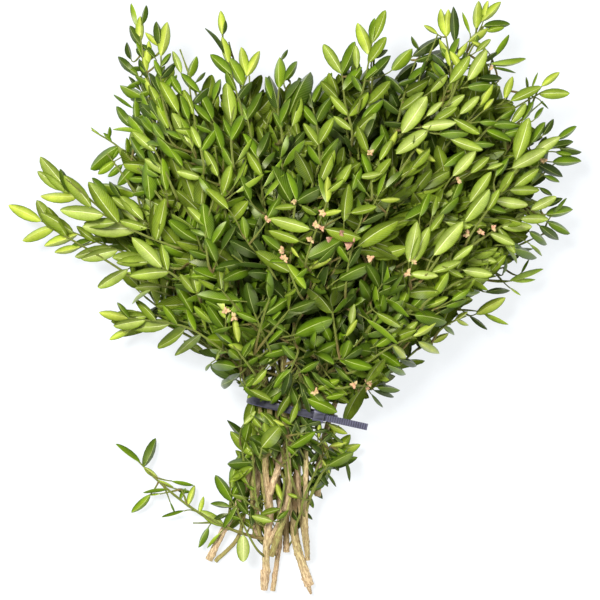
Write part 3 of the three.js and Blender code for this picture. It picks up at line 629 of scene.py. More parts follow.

# %% [markdown]
# ## The fan
# Seen from above the leafy part is a fan that opens from the tie. Its outline without the tips that stand out of
# it is read from the picture. Its height is a dome: it rises from the tie, is highest in the middle, and
# sinks to the rim and to both sides.

# %% Rim and dome
TIE_PIXEL = (292, 404)
RIM_PIXELS = [
    (240, 400), (222, 384), (208, 364), (196, 338), (184, 302), (160, 278), (128, 266), (96, 254), (60, 226),
    (84, 196), (126, 196), (132, 168), (134, 130), (142, 96), (152, 66), (172, 66), (196, 78), (214, 66), (240, 72),
    (264, 74), (286, 66), (306, 92), (326, 84), (342, 54), (366, 36), (388, 52), (412, 56), (440, 50), (456, 30),
    (484, 28), (502, 62), (520, 98), (544, 110), (556, 150), (548, 190), (552, 214), (534, 246), (508, 266),
    (486, 296), (452, 322), (424, 346), (398, 376), (372, 398), (344, 408),
]
SIDE_DROP = 0.5  # share of its height that the dome loses at the sides
rim = np.array([seen(px, py, 30) for px, py in RIM_PIXELS])[:, :2]
NECK = seen(*TIE_PIXEL, 30)[:2]
rim_turn = np.arctan2(rim[:, 0] - NECK[0], rim[:, 1] - NECK[1])
rim_reach = np.linalg.norm(rim - NECK, axis=1)
order = np.argsort(rim_turn)
rim_turn, rim_reach = rim_turn[order], rim_reach[order]


def fan_place(xy):
    """Direction from the tie, and share of the way to the rim, of places in the fan."""
    way = np.asarray(xy, float) - NECK
    turn = np.arctan2(way[..., 0], way[..., 1])
    return turn, np.linalg.norm(way, axis=-1) / np.interp(turn, rim_turn, rim_reach)


def fan_point(turn, share):
    """The place in a direction from the tie, at a share of the way to the rim there."""
    reach = np.interp(turn, rim_turn, rim_reach) * share
    return NECK + reach * np.array([np.sin(turn), np.cos(turn)])


def dome(turn, share):
    """Height of the bunch's top there: read off a line by the share of the way to the rim, and lowered towards
    the sides by the square of the turn."""
    height = np.interp(share, [0, 0.1, 0.3, 0.55, 0.8, 1, 1.2], [38, 50, 72, 82, 66, 40, 24])
    return height * (1 - SIDE_DROP * (np.abs(turn) / 1.4) ** 2)


def on_dome(px, py, lift):
    """The point that a pixel shows, as far above the dome as lift says; its height and place settle in steps."""
    point = seen(px, py, 40)
    for _ in range(3):
        point = seen(px, py, max(dome(*fan_place(point[:2])) + lift, 4.0))
    return point


# %% What a point shows
def pixel_of(points):
    """Pixels at which points show: the other way round from seen."""
    depth = (MIDDLE_HEIGHT + CAMERA_ABOVE - points[..., 2]) / CAMERA_ABOVE * PIXEL
    px = FRAME_PIXELS / 2 + (points[..., 0] - CAMERA_AT[0]) / depth
    return np.stack([px, FRAME_PIXELS / 2 - (points[..., 1] - CAMERA_AT[1]) / depth], -1)


def inside(points, corners):
    """Whether pixels lie in an outline: a line from each to the far right crosses it an odd number of times."""
    x, y = points[..., 0, None], points[..., 1, None]
    a = np.asarray(corners, float)
    b = np.roll(a, -1, axis=0)
    spans = (a[:, 1] > y) != (b[:, 1] > y)
    slope = (b[:, 0] - a[:, 0]) / np.where(b[:, 1] == a[:, 1], 1e-9, b[:, 1] - a[:, 1])
    return (spans & (x < a[:, 0] + (y - a[:, 1]) * slope)).sum(-1) % 2 == 1


# outlines in which no leaf may show: both visible stretches of the tie, and the bare paper beside it
BARE = [
    [(241, 398), (276, 401), (278, 417), (241, 413)],
    [(302, 402), (372, 417), (372, 437), (318, 430), (302, 420)],
    [(100, 392), (240, 400), (240, 418), (100, 430)],
    [(376, 404), (600, 380), (600, 470), (372, 440)],
]


# outlines that hold the tips of grown leaves: the fan, its two wings on the left, and the stretch below the tie
FAN = [
    (243, 398), (232, 385), (222, 372), (214, 358), (207, 346), (196, 330), (184, 300), (165, 285), (150, 272),
    (158, 240), (134, 225), (134, 192), (122, 172), (122, 150), (122, 130), (128, 115), (124, 95), (131, 76),
    (138, 58), (160, 50), (185, 72), (205, 80), (222, 70), (235, 80), (255, 75), (270, 70), (285, 62), (300, 75),
    (312, 92), (325, 80), (326, 70), (340, 50), (355, 35), (372, 35), (385, 45), (395, 60), (410, 55), (420, 62),
    (435, 60), (440, 35), (455, 25), (470, 35), (485, 25), (490, 45), (500, 60), (505, 85), (515, 100), (530, 95),
    (545, 100), (540, 112), (548, 125), (550, 145), (560, 155), (548, 175), (545, 195), (555, 205), (550, 220),
    (545, 235), (530, 250), (510, 255), (500, 275), (490, 290), (470, 300), (455, 320), (440, 335), (420, 350),
    (405, 365), (390, 385), (370, 395), (350, 405),
]
WING_HIGH = [(170, 235), (140, 205), (118, 190), (95, 172), (68, 170), (45, 165), (42, 195), (24, 205), (30, 240),
             (60, 250), (84, 258), (108, 282), (160, 290)]
WING_LOW = [(196, 335), (170, 308), (145, 306), (118, 308), (106, 316), (114, 332), (142, 330), (180, 346), (206, 356)]
BELOW = [(228, 420), (240, 416), (372, 438), (350, 462), (346, 482), (312, 520), (240, 560), (204, 520), (226, 470)]
GROWN_WITHIN = [FAN, WING_HIGH, WING_LOW, BELOW]


def picked(leaf, keep):
    """The leaves of a set for which keep is true."""
    return {key: value[keep] for key, value in leaf.items()}


def kept_clear(leaf, in_view=True):
    """The leaves that stay out of the bare outlines at four places along them, whose tips stay within one of the
    outlines for grown leaves, and that hide no leaf read from the picture, unless in_view is off."""
    tip = leaf["root"] + leaf["along"] * leaf["length"][:, None]
    keep = np.ones(len(tip), bool)
    for share in (0.15, 0.5, 0.75, 1):
        at = pixel_of(leaf["root"] + (tip - leaf["root"]) * share)
        for corners in BARE:
            keep &= ~inside(at, corners)
    keep &= np.any([inside(pixel_of(tip), corners) for corners in GROWN_WITHIN], axis=0)
    for share in (0.25, 0.5, 0.75, 0.97) if in_view else ():
        keep &= ~hides_read_leaf(leaf["root"] + (tip - leaf["root"]) * share)
    return picked(leaf, keep)


# %% [markdown]
# ## More shoots between the first ones
# A real bunch holds several times more leaves than its solids do. The rest of them stand on short shoots in four
# layers: one at the dome, one just under it, one half way down, one near the surface. Their tips are spread evenly
# over the fan, and each shoot leaves the nearest older twig or stem behind it.

# %% Tips of the added shoots
# name, part of the dome's height, rows as shares of the way to the rim, distance between neighbours in mm, leaf size
LAYERS = [
    ("crown", 1.0, (0.1, 0.18, 0.26, 0.34, 0.42, 0.5, 0.58, 0.66, 0.74, 0.82, 0.9), 20, 0.72),
    ("top", 0.88, (0.12, 0.22, 0.32, 0.42, 0.52, 0.62, 0.72, 0.82, 0.92), 22, 0.8),
    ("middle", 0.62, (0.1, 0.2, 0.32, 0.44, 0.56, 0.68, 0.8, 0.92), 25, 0.95),
    ("low", 0.3, (0.2, 0.35, 0.5, 0.65, 0.8, 0.9), 32, 1.0),
]
FOOTHOLD_ABOVE = 32.0  # what a foothold that lies higher than the tip costs, in mm of distance
TOO_CLOSE = 1e3  # what one costs that is nearer to the tip than half the way
FAN_SPAN = 0.97  # of the fan's turn, and of the way to the rim, that tips keep within
# by share of the way to the rim: how far a shoot strays off the straight line, how long it is, how much it climbs
STRAY_BY_SHARE = ([0.1, 0.5, 1], [1.1, 0.65, 0.25])
LENGTH_BY_SHARE = ([0.1, 0.4, 1], [34, 50, 66])
CLIMB_BY_SHARE = ([0.1, 0.5, 1], [30, 24, 8])


def foothold(wanted, tip, points):
    """The noted twig point nearest to the wanted one that isn't nearer to the tip than half the way."""
    far = np.linalg.norm(points - wanted, axis=1)
    close = np.linalg.norm(points - tip, axis=1) < 0.5 * np.linalg.norm(wanted - tip)
    high = points[:, 2] > tip[2] + 4
    return points[np.argmin(far + TOO_CLOSE * close + FOOTHOLD_ABOVE * high)]


def noted_points(side=1):
    """All points of stems and twigs so far on one side of the tie: 1 for the leafy one, -1 for the bare one."""
    stems = [spline(points, np.linspace(0, 1, 60)) for _, points in STEMS.values()]
    points = np.concatenate(stems + twig_points)
    return points[(points[:, 1] + 0.23 * points[:, 0]) * side > 7]


def added_shoots(part, rows, apart, seed, points):
    """Paths of one layer's shoots. Each tip has its place in a row across the fan, moved a little by a draw; the
    twig comes from nearer the tie and from lower down, and wanders off the straight line more in the heart."""
    paths = []
    for row, share in enumerate(rows):
        low, high = rim_turn[0] * FAN_SPAN, rim_turn[-1] * FAN_SPAN
        middle_reach = float(np.mean(rim_reach)) * share
        count = max(2, int((high - low) * middle_reach / apart))
        for k in range(count):
            own = seed + 97 * row + 7 * k
            turn = low + (high - low) * (k + 0.5 + 0.45 * draw(own)) / count
            place = share + 0.05 * draw(own + 1)
            tip_xy = fan_point(turn, min(place, FAN_SPAN))
            tip = np.array([*tip_xy, max(dome(turn, place) * part + 4 * draw(own + 2), 5)])
            stray = np.interp(share, *STRAY_BY_SHARE) * draw(own + 3)
            way = np.array([np.sin(turn + stray), np.cos(turn + stray)])
            long = np.interp(share, *LENGTH_BY_SHARE) * (1 + 0.25 * draw(own + 4))
            long = min(long, 0.7 * np.linalg.norm(tip_xy - NECK))
            steep = np.interp(share, *CLIMB_BY_SHARE) * (0.6 + 0.4 * draw(own + 7)) * part
            wanted = np.array([*(tip_xy - way * long), max(tip[2] - steep, 3)])
            root = foothold(wanted, tip, points)
            middle = (wanted + tip) / 2 + [4 * draw(own + 5), 4 * draw(own + 6), 4 * part]
            end = tip - unit(tip - middle) * TIP_REACH
            paths.append((np.array([root, middle, end]), SIDE_TWIG_RADIUS, own))
    return paths


# %% [markdown]
# ## Sprays read from the picture
# The sprays that make the picture what it is are placed one by one: the twig by three pixels, its leaves by the
# pixels of root and tip, and a letter for the look of each. They lie on the dome. A leaf that stands off the
# twig gets a short spur from it. Most leaves are read one by one. Some, at the two top corners and beside and behind
# the bare stems, only fill what shows green in the picture and match no single leaf that was read.

# %% Looks of single leaves
# tone, young, face shown, width for its length, how far its face is turned off the camera in degrees
LOOKS = {
    "l": (0.8, 0.78, 1, 0.33, 18),  # lime
    "y": (0.82, 0.4, -1, 0.355, 10),  # very pale underside
    "p": (0.6, 0.22, -1, 0.345, 18),  # pale underside
    "o": (0.33, 0.08, -1, 0.35, 22),  # olive underside, older
    "m": (0.43, 0.06, 1, 0.35, 22),  # mid green
    "b": (0.7, 0.0, 1, 0.38, 16),  # bright saturated green
    "d": (0.10, 0.0, 1, 0.35, 22),  # dark
    "k": (0.08, 0.0, 1, 0.23, 16),  # dark and narrow
    "g": (0.3, 0.0, 1, 0.42, 16),  # grey green, broad
    "r": (0.42, 0.2, -1, 0.58, 8),  # round, grey green
    "v": (0.85, 0.7, -1, 0.52, 8),  # round and pale
    "n": (0.6, 0.4, 1, 0.26, 50),  # narrow, seen on edge
    "e": (0.2, 0.0, 1, 0.30, 68),  # dark, seen on edge
}

GLOSSY = "gb"  # looks whose face is turned towards the light from the upper left
KEY_WAY = np.array([-0.7, 0.7, 0.0])

# %% Sprays
# name, lift above the dome, three pixels of the twig, leaves as root, tip and look
SPRAYS = [
    ("left_tip", 3, [(172, 268), (113, 248), (50, 223)], [
     (41,221, 9,204, "l"), (73,228, 41,211, "p"), (54,229, 22,240, "l"), (76,233, 45,247, "l"), (80,247, 55,254, "l"),
     (96,241, 75,227, "o"), (113,244, 75,257, "p"), (117,253, 82,260, "p"), (91,238, 70,249, "d"),
     (150,262, 118,262, "p"), (104,246, 96,228, "d"),
    ]),
    ("left_upper", 6, [(172, 246), (120, 224), (70, 193)], [
     (66,191, 40,157, "p"), (64,190, 37,172, "p"), (75,201, 40,197, "l"), (69,193, 61,169, "d"), (92,205, 67,175, "p"),
     (103,216, 65,211, "p"), (119,223, 90,186, "o"), (107,194, 91,178, "d"), (120,196, 110,180, "d"),
     (117,220, 86,225, "p"), (141,228, 90,230, "y"), (147,228, 120,221, "p"), (143,220, 122,197, "p"),
     (132,211, 112,199, "p"), (157,236, 152,205, "o"), (157,238, 165,198, "o"),
    ]),
    ("left_middle", 3, [(196, 292), (163, 268), (130, 252)], [
     (163,266, 133,237, "p"), (134,253, 114,239, "o"), (145,262, 114,258, "p"), (170,271, 134,275, "p"),
     (128,269, 101,285, "p"), (161,287, 133,286, "p"), (168,270, 160,244, "o"), (150,290, 128,299, "n"),
    ]),
    ("left_low", 2, [(226, 352), (186, 327), (128, 318)], [
     (123,318, 99,313, "l"), (131,329, 109,339, "l"), (130,314, 116,304, "d"), (147,319, 116,325, "p"),
     (174,324, 138,330, "p"), (159,317, 140,303, "o"), (186,327, 162,346, "p"), (201,334, 182,349, "o"),
     (222,348, 216,358, "p"), (178,322, 165,305, "m"), (196,330, 184,308, "m"),
    ]),
    ("left_round", 1, [(162, 200), (124, 152), (92, 130)], [
     (116,149, 88,167, "g"), (115,161, 97,173, "b"), (122,165, 107,176, "g"), (132,168, 117,186, "g"),
     (101,133, 90,128, "n"), (107,141, 109,127, "m"), (143,182, 126,178, "m"), (147,191, 130,192, "m"),
     (112,140, 103,133, "m"), (130,152, 126,138, "m"), (160,185, 150,160, "g"), (118,150, 112,158, "m"),
    ]),
    ("left_small", 5, [(176, 196), (158, 156), (136, 122)], [
     (132,127, 115,106, "d"), (154,117, 139,102, "d"), (133,108, 114,93, "e"), (137,118, 134,98, "m"),
     (143,134, 126,112, "m"), (157,151, 134,134, "p"), (177,158, 158,135, "m"), (192,149, 172,114, "p"),
     (144,159, 129,137, "d"), (150,200, 147,160, "g"), (166,190, 160,158, "m"), (158,176, 138,164, "m"),
     (150,146, 136,150, "m"), (164,140, 150,122, "m"), (168,128, 156,104, "b"), (152,132, 138,118, "d"),
     (160,146, 142,142, "d"), (145,132, 113,125, "n"), (170,172, 146,158, "p"), (201,178, 178,170, "p"),
     (182,166, 170,150, "m"),
    ]),
    ("top_left", 4, [(166, 120), (150, 84), (140, 42)], [
     (142,46, 128,25, "d"), (155,58, 141,44, "d"), (142,24, 145,4, "d"), (137,26, 133,3, "n"), (144,40, 140,15, "l"),
     (159,46, 146,31, "l"), (134,73, 117,56, "d"), (131,59, 127,42, "d"), (143,97, 119,84, "b"), (150,66, 148,40, "l"),
     (138,76, 122,62, "m"), (150,70, 142,50, "l"), (150,84, 135,74, "m"), (156,96, 146,76, "l"),
     (160,108, 150,86, "p"), (142,80, 126,88, "m"), (148,92, 134,96, "b"), (150,104, 138,110, "m"),
     (146,78, 140,58, "d"), (140,60, 136,42, "m"), (156,82, 166,66, "d"), (144,68, 128,66, "d"), (146,56, 136,48, "d"),
     (152,112, 134,118, "m"), (160,94, 147,72, "d"), (166,104, 156,80, "d"), (150,112, 142,90, "m"),
     (146,102, 129,100, "d"), (164,90, 176,74, "m"), (158,120, 144,104, "m"), (140,90, 128,76, "k"),
     (152,74, 140,66, "m"), (152,120, 139,102, "d"), (148,126, 132,112, "d"), (154,128, 144,112, "m"),
     (146,92, 138,76, "d"), (158,118, 149,98, "d"), (164,114, 155,94, "m"), (168,136, 160,118, "d"),
     (158,166, 148,148, "d"),
    ]),
    ("top_left_lime", 6, [(172, 130), (162, 96), (161, 56)], [
     (163,52, 168,20, "l"), (160,46, 158,21, "d"), (162,66, 172,54, "m"), (164,78, 176,62, "d"), (160,76, 152,60, "m"),
     (166,94, 176,76, "m"), (163,92, 154,76, "m"),
    ]),
    ("top_left_broad", 7, [(204, 170), (196, 128), (188, 78)], [
     (181,73, 173,52, "p"), (184,75, 195,55, "b"), (196,82, 205,72, "d"), (199,92, 179,75, "m"),
     (178,113, 161,83, "p"), (181,94, 169,75, "m"), (189,115, 185,90, "p"), (210,122, 192,104, "m"),
     (208,110, 198,91, "m"), (212,132, 196,124, "m"), (196,104, 208,86, "d"), (204,148, 190,128, "p"),
     (204,150, 216,128, "m"), (200,132, 176,128, "p"), (188,119, 178,95, "m"), (212,119, 199,90, "m"),
     (214,100, 222,78, "m"), (222,150, 212,122, "m"), (190,138, 180,118, "b"), (184,140, 164,132, "m"),
    ]),
    ("top_left_spike", 5, [(242, 118), (234, 84), (222, 40)], [
     (222,34, 221,10, "l"), (223,34, 225,20, "d"), (222,56, 209,25, "e"), (229,63, 222,36, "l"), (228,76, 210,54, "m"),
     (243,85, 229,56, "b"), (238,90, 226,70, "m"),
    ]),
    ("top_left_fork", 6, [(234, 168), (232, 118), (247, 76)], [
     (247,73, 239,46, "l"), (251,75, 260,50, "l"), (230,122, 227,84, "p"), (218,176, 206,150, "p"),
     (223,193, 232,166, "p"), (228,209, 206,189, "o"), (236,140, 246,112, "m"), (236,138, 222,118, "m"),
     (240,100, 252,80, "d"), (232,168, 222,146, "m"), (238,160, 250,138, "n"), (234,186, 250,160, "n"),
     (236,192, 262,172, "n"), (244,178, 266,168, "n"),
    ]),
    ("top_notch", 4, [(282, 140), (278, 108), (280, 78)], [
     (277,109, 269,72, "d"), (283,88, 280,55, "b"), (285,80, 300,61, "m"), (281,60, 287,49, "d"),
     (280,124, 292,98, "m"), (286,100, 303,80, "d"), (290,112, 312,68, "d"), (284,128, 272,112, "g"),
     (292,126, 300,100, "p"), (272,100, 262,76, "m"),
    ]),
    ("top_middle", 5, [(352, 132), (345, 102), (342, 74)], [
     (341,74, 326,46, "p"), (339,100, 323,82, "o"), (343,72, 357,41, "m"), (346,90, 362,66, "m"),
     (350,116, 366,92, "o"), (346,116, 332,96, "p"), (356,136, 374,112, "o"), (350,130, 334,116, "p"),
     (362,120, 384,98, "m"), (368,104, 390,84, "o"),
    ]),
    ("top_middle_lime", 7, [(358, 110), (366, 76), (372, 42)], [
     (366,54, 358,21, "l"), (371,40, 376,17, "m"), (374,44, 387,13, "o"), (367,63, 386,38, "o"), (357,68, 357,47, "p"),
     (375,58, 389,50, "d"), (368,80, 384,62, "m"), (362,92, 352,74, "m"), (372,76, 392,56, "d"),
    ]),
    ("top_dark", 3, [(396, 130), (404, 96), (416, 60)], [
     (392,70, 413,47, "b"), (413,56, 442,36, "d"), (412,60, 438,54, "d"), (419,49, 412,36, "d"), (408,84, 428,66, "m"),
     (400,92, 386,74, "d"), (420,76, 423,60, "e"), (398,84, 416,78, "d"), (402,110, 424,94, "o"),
     (396,112, 380,98, "d"), (430,92, 446,74, "p"),
    ]),
    ("top_right_lime", 5, [(452, 92), (450, 62), (446, 36)], [
     (437,34, 424,25, "l"), (443,36, 442,7, "l"), (449,36, 447,8, "l"), (455,42, 454,5, "k"), (449,56, 440,38, "l"),
     (452,60, 462,38, "m"), (446,76, 434,60, "m"), (454,78, 464,58, "l"), (446,60, 437,44, "m"), (445,66, 431,52, "d"),
     (452,66, 447,48, "l"), (440,80, 426,70, "d"),
    ]),
    ("top_right_feather", 7, [(448, 104), (466, 60), (484, 26)], [
     (470,33, 464,11, "n"), (476,28, 477,0, "l"), (482,21, 502,2, "l"), (484,19, 489,0, "l"), (469,41, 488,26, "l"),
     (488,23, 511,24, "d"), (487,31, 505,26, "b"), (486,50, 472,42, "l"), (493,57, 506,32, "n"), (491,64, 527,62, "n"),
     (493,67, 516,72, "e"), (480,78, 503,80, "d"), (505,98, 511,75, "l"), (468,80, 485,52, "y"), (450,83, 471,58, "p"),
     (445,98, 467,77, "p"), (468,87, 497,84, "m"), (480,105, 492,83, "l"), (484,110, 495,98, "l"),
     (462,70, 450,50, "l"), (457,58, 467,41, "l"), (460,68, 467,51, "d"), (484,62, 496,51, "d"), (474,66, 488,58, "m"),
     (476,52, 490,41, "p"), (470,44, 478,32, "m"),
    ]),
    ("right_pale", 6, [(398, 176), (420, 142), (440, 112)], [
     (402,133, 427,97, "y"), (424,129, 395,154, "y"), (422,127, 455,122, "y"), (427,116, 442,102, "y"),
     (436,123, 457,108, "p"), (443,108, 463,95, "p"), (460,114, 479,98, "y"), (454,119, 479,133, "p"),
     (440,134, 469,132, "m"), (451,139, 481,152, "p"), (472,143, 495,145, "m"), (416,148, 436,160, "l"),
     (388,150, 396,130, "l"), (380,160, 392,140, "p"), (412,168, 428,148, "p"), (404,124, 384,122, "d"),
    ]),
    ("right_upper", 5, [(470, 150), (500, 118), (542, 92)], [
     (488,132, 511,142, "m"), (495,127, 520,124, "m"), (480,122, 499,122, "m"), (511,101, 540,87, "p"),
     (539,94, 569,93, "p"), (542,86, 560,72, "l"), (528,90, 527,77, "e"), (532,88, 539,73, "n"),
     (511,123, 525,104, "p"), (523,120, 535,101, "m"), (535,119, 545,108, "m"), (540,100, 549,108, "e"),
     (500,118, 516,108, "m"), (504,134, 530,130, "m"),
    ]),
    ("right_broad", 8, [(470, 236), (504, 188), (534, 152)], [
     (516,160, 529,119, "p"), (530,152, 558,138, "y"), (512,168, 545,152, "y"), (514,187, 536,169, "p"),
     (493,199, 525,207, "y"), (510,190, 537,191, "p"), (531,143, 547,122, "m"), (543,135, 554,119, "d"),
     (487,169, 503,165, "p"), (471,173, 489,158, "p"), (453,176, 476,153, "y"), (444,166, 465,150, "m"),
     (496,176, 510,158, "m"), (498,192, 514,172, "p"), (484,208, 500,190, "p"), (484,206, 506,214, "m"),
    ]),
    ("right_dark_tips", 2, [(498, 196), (528, 172), (546, 160)], [
     (558,139, 578,127, "m"), (560,148, 583,152, "d"), (553,162, 583,162, "m"), (552,146, 575,144, "d"),
     (541,168, 563,178, "d"), (545,176, 560,184, "m"), (540,188, 552,196, "d"), (556,152, 572,156, "m"),
    ]),
    ("right_lower", 4, [(470, 246), (510, 222), (548, 214)], [
     (520,217, 546,219, "y"), (531,210, 556,198, "y"), (547,218, 575,212, "m"), (548,222, 573,232, "m"),
     (503,229, 531,227, "y"), (545,206, 563,198, "d"), (553,214, 568,199, "e"), (540,226, 560,240, "d"),
     (530,232, 550,246, "m"), (492,236, 514,244, "y"), (500,230, 514,252, "p"), (476,240, 492,228, "p"),
     (508,244, 528,256, "m"), (506,246, 520,264, "n"),
    ]),
    ("right_long", 6, [(430, 270), (456, 232), (480, 204)], [
     (464,221, 488,189, "p"), (470,202, 492,173, "p"), (434,255, 461,221, "y"), (409,262, 417,221, "y"),
     (412,264, 428,226, "p"), (405,220, 435,206, "m"), (430,232, 444,214, "p"), (440,214, 458,196, "m"),
     (420,216, 428,192, "m"), (446,222, 470,226, "p"), (432,216, 436,196, "o"), (452,200, 462,178, "m"),
    ]),
    ("right_bottom", 4, [(424, 304), (458, 282), (490, 268)], [
     (463,270, 491,274, "y"), (411,274, 438,277, "y"), (453,260, 473,246, "y"), (512,248, 541,256, "m"),
     (470,316, 488,329, "k"), (484,313, 509,323, "n"), (530,244, 544,255, "n"), (503,274, 508,260, "e"),
     (432,272, 460,264, "p"), (486,292, 513,289, "k"), (512,281, 536,282, "n"), (434,297, 448,272, "b"),
     (521,273, 527,258, "e"), (446,268, 462,278, "p"), (510,281, 544,270, "n"), (510,288, 520,296, "n"),
     (446,306, 468,298, "m"), (452,300, 470,288, "b"), (440,312, 456,304, "d"), (462,292, 482,296, "m"),
    ]),
    ("neck_right", 9, [(352, 372), (392, 346), (424, 332)], [
     (415,340, 437,324, "l"), (419,342, 440,356, "l"), (432,342, 449,333, "l"), (394,346, 411,363, "m"),
     (388,365, 408,375, "m"), (400,359, 420,366, "d"), (415,315, 449,321, "g"), (377,313, 401,326, "o"),
     (367,319, 400,342, "n"), (346,336, 355,320, "l"), (367,381, 384,355, "o"), (390,326, 404,312, "m"),
     (393,344, 411,362, "l"), (376,346, 396,334, "b"),
    ]),
    ("right_limes", 9, [(440, 330), (452, 322), (466, 316)], [
     (476,314, 505,297, "l"), (457,317, 470,325, "l"), (456,324, 468,312, "l"), (444,326, 456,336, "m"),
    ]),
    ("neck_buds", 6, [(336, 388), (354, 386), (372, 386)], [
     (364,390, 343,419, "o"), (318,389, 338,380, "b"), (378,387, 401,388, "m"), (371,394, 382,409, "e"),
     (374,390, 396,396, "e"), (336,386, 320,376, "m"), (350,380, 336,366, "m"), (344,394, 326,398, "b"),
    ]),
    ("neck_left", 4, [(262, 384), (246, 362), (232, 344)], [
     (233,380, 215,390, "g"), (235,367, 208,361, "g"), (211,363, 203,371, "n"), (258,357, 241,366, "m"),
     (240,374, 226,384, "d"), (252,376, 236,388, "m"), (244,386, 262,398, "m"), (250,390, 270,400, "p"),
     (230,340, 214,330, "m"), (234,318, 238,343, "l"), (226,352, 206,348, "m"), (262,372, 246,384, "b"),
    ]),
    ("neck_middle", 5, [(298, 352), (294, 362), (290, 372)], [
     (292,370, 276,384, "m"), (300,372, 318,360, "m"), (296,360, 282,346, "g"), (318,386, 336,400, "m"),
     (328,390, 346,402, "o"), (292,374, 284,396, "d"), (304,376, 314,394, "m"), (266,370, 252,386, "p"),
     (332,380, 348,394, "b"), (256,376, 242,390, "m"), (312,372, 326,388, "d"), (284,372, 272,388, "m"),
    ]),
    ("heart_buds", 7, [(306, 262), (314, 236), (327, 202)], [
     (310,229, 270,217, "p"), (326,229, 361,237, "o"), (326,216, 341,210, "l"), (299,241, 269,229, "p"),
     (299,257, 292,247, "l"), (303,257, 344,240, "m"), (302,271, 330,259, "l"), (326,203, 315,174, "n"),
     (329,203, 327,176, "l"), (327,192, 344,179, "p"), (318,262, 336,246, "d"),
    ]),
    ("heart_left_buds", 6, [(298, 292), (290, 272), (283, 252)], [
     (288,273, 255,252, "o"), (288,264, 304,290, "b"), (283,250, 262,236, "m"), (286,262, 270,262, "m"),
     (292,280, 306,268, "m"), (296,288, 284,296, "o"),
    ]),
    ("heart_rosette", 6, [(292, 232), (294, 214), (296, 200)], [
     (290,201, 271,166, "g"), (296,202, 323,185, "g"), (267,220, 279,197, "g"), (294,196, 286,172, "m"),
     (300,198, 298,174, "d"), (290,206, 274,208, "o"), (302,206, 318,214, "o"),
    ]),
    ("heart_right", 5, [(346, 284), (352, 248), (362, 218)], [
     (339,279, 370,262, "g"), (320,182, 333,150, "p"), (344,221, 347,184, "o"), (360,177, 382,175, "y"),
     (381,200, 400,199, "l"), (351,213, 377,209, "o"), (358,246, 397,219, "o"), (352,232, 372,226, "m"),
     (346,262, 336,240, "m"), (350,268, 360,246, "d"), (336,190, 352,166, "p"), (352,190, 360,166, "m"),
    ]),
    ("heart_low", 4, [(270, 350), (258, 322), (250, 300)], [
     (252,315, 246,284, "g"), (263,311, 276,296, "g"), (230,327, 213,331, "m"), (240,301, 197,297, "m"),
     (222,310, 207,300, "g"), (296,334, 332,317, "g"), (285,331, 266,320, "m"), (351,324, 355,303, "y"),
     (262,330, 280,314, "m"), (256,322, 238,312, "b"), (300,336, 322,322, "d"), (268,344, 284,330, "m"),
    ]),
    ("heart_shine", 6, [(208, 262), (206, 228), (214, 198)], [
     (203,203, 206,241, "g"), (214,196, 200,176, "m"), (206,226, 188,208, "p"), (210,236, 190,230, "m"),
     (212,244, 226,222, "m"), (206,256, 188,250, "g"), (216,262, 206,238, "g"), (222,250, 236,228, "d"),
    ]),
    ("heart_up_left", 5, [(262, 178), (252, 140), (246, 112)], [
     (256,160, 242,134, "m"), (258,158, 272,132, "d"), (262,176, 250,152, "p"), (264,186, 280,158, "n"),
     (248,120, 238,98, "m"), (252,118, 264,92, "m"), (266,196, 286,176, "n"), (250,200, 240,174, "m"),
    ]),
    ("heart_up", 5, [(322, 166), (318, 132), (312, 104)], [
     (312,108, 306,82, "d"), (316,122, 330,96, "m"), (314,126, 300,104, "m"), (320,144, 334,118, "p"),
     (318,146, 304,124, "p"), (322,164, 308,142, "m"), (324,160, 338,138, "m"), (312,102, 322,84, "m"),
    ]),
    ("heart_up_right", 5, [(372, 196), (370, 166), (366, 140)], [
     (368,152, 358,126, "o"), (370,156, 386,134, "m"), (372,178, 360,154, "m"), (376,182, 392,160, "o"),
     (366,138, 376,116, "d"), (378,196, 388,172, "n"), (366,192, 352,172, "m"), (386,188, 404,172, "m"),
    ]),
]

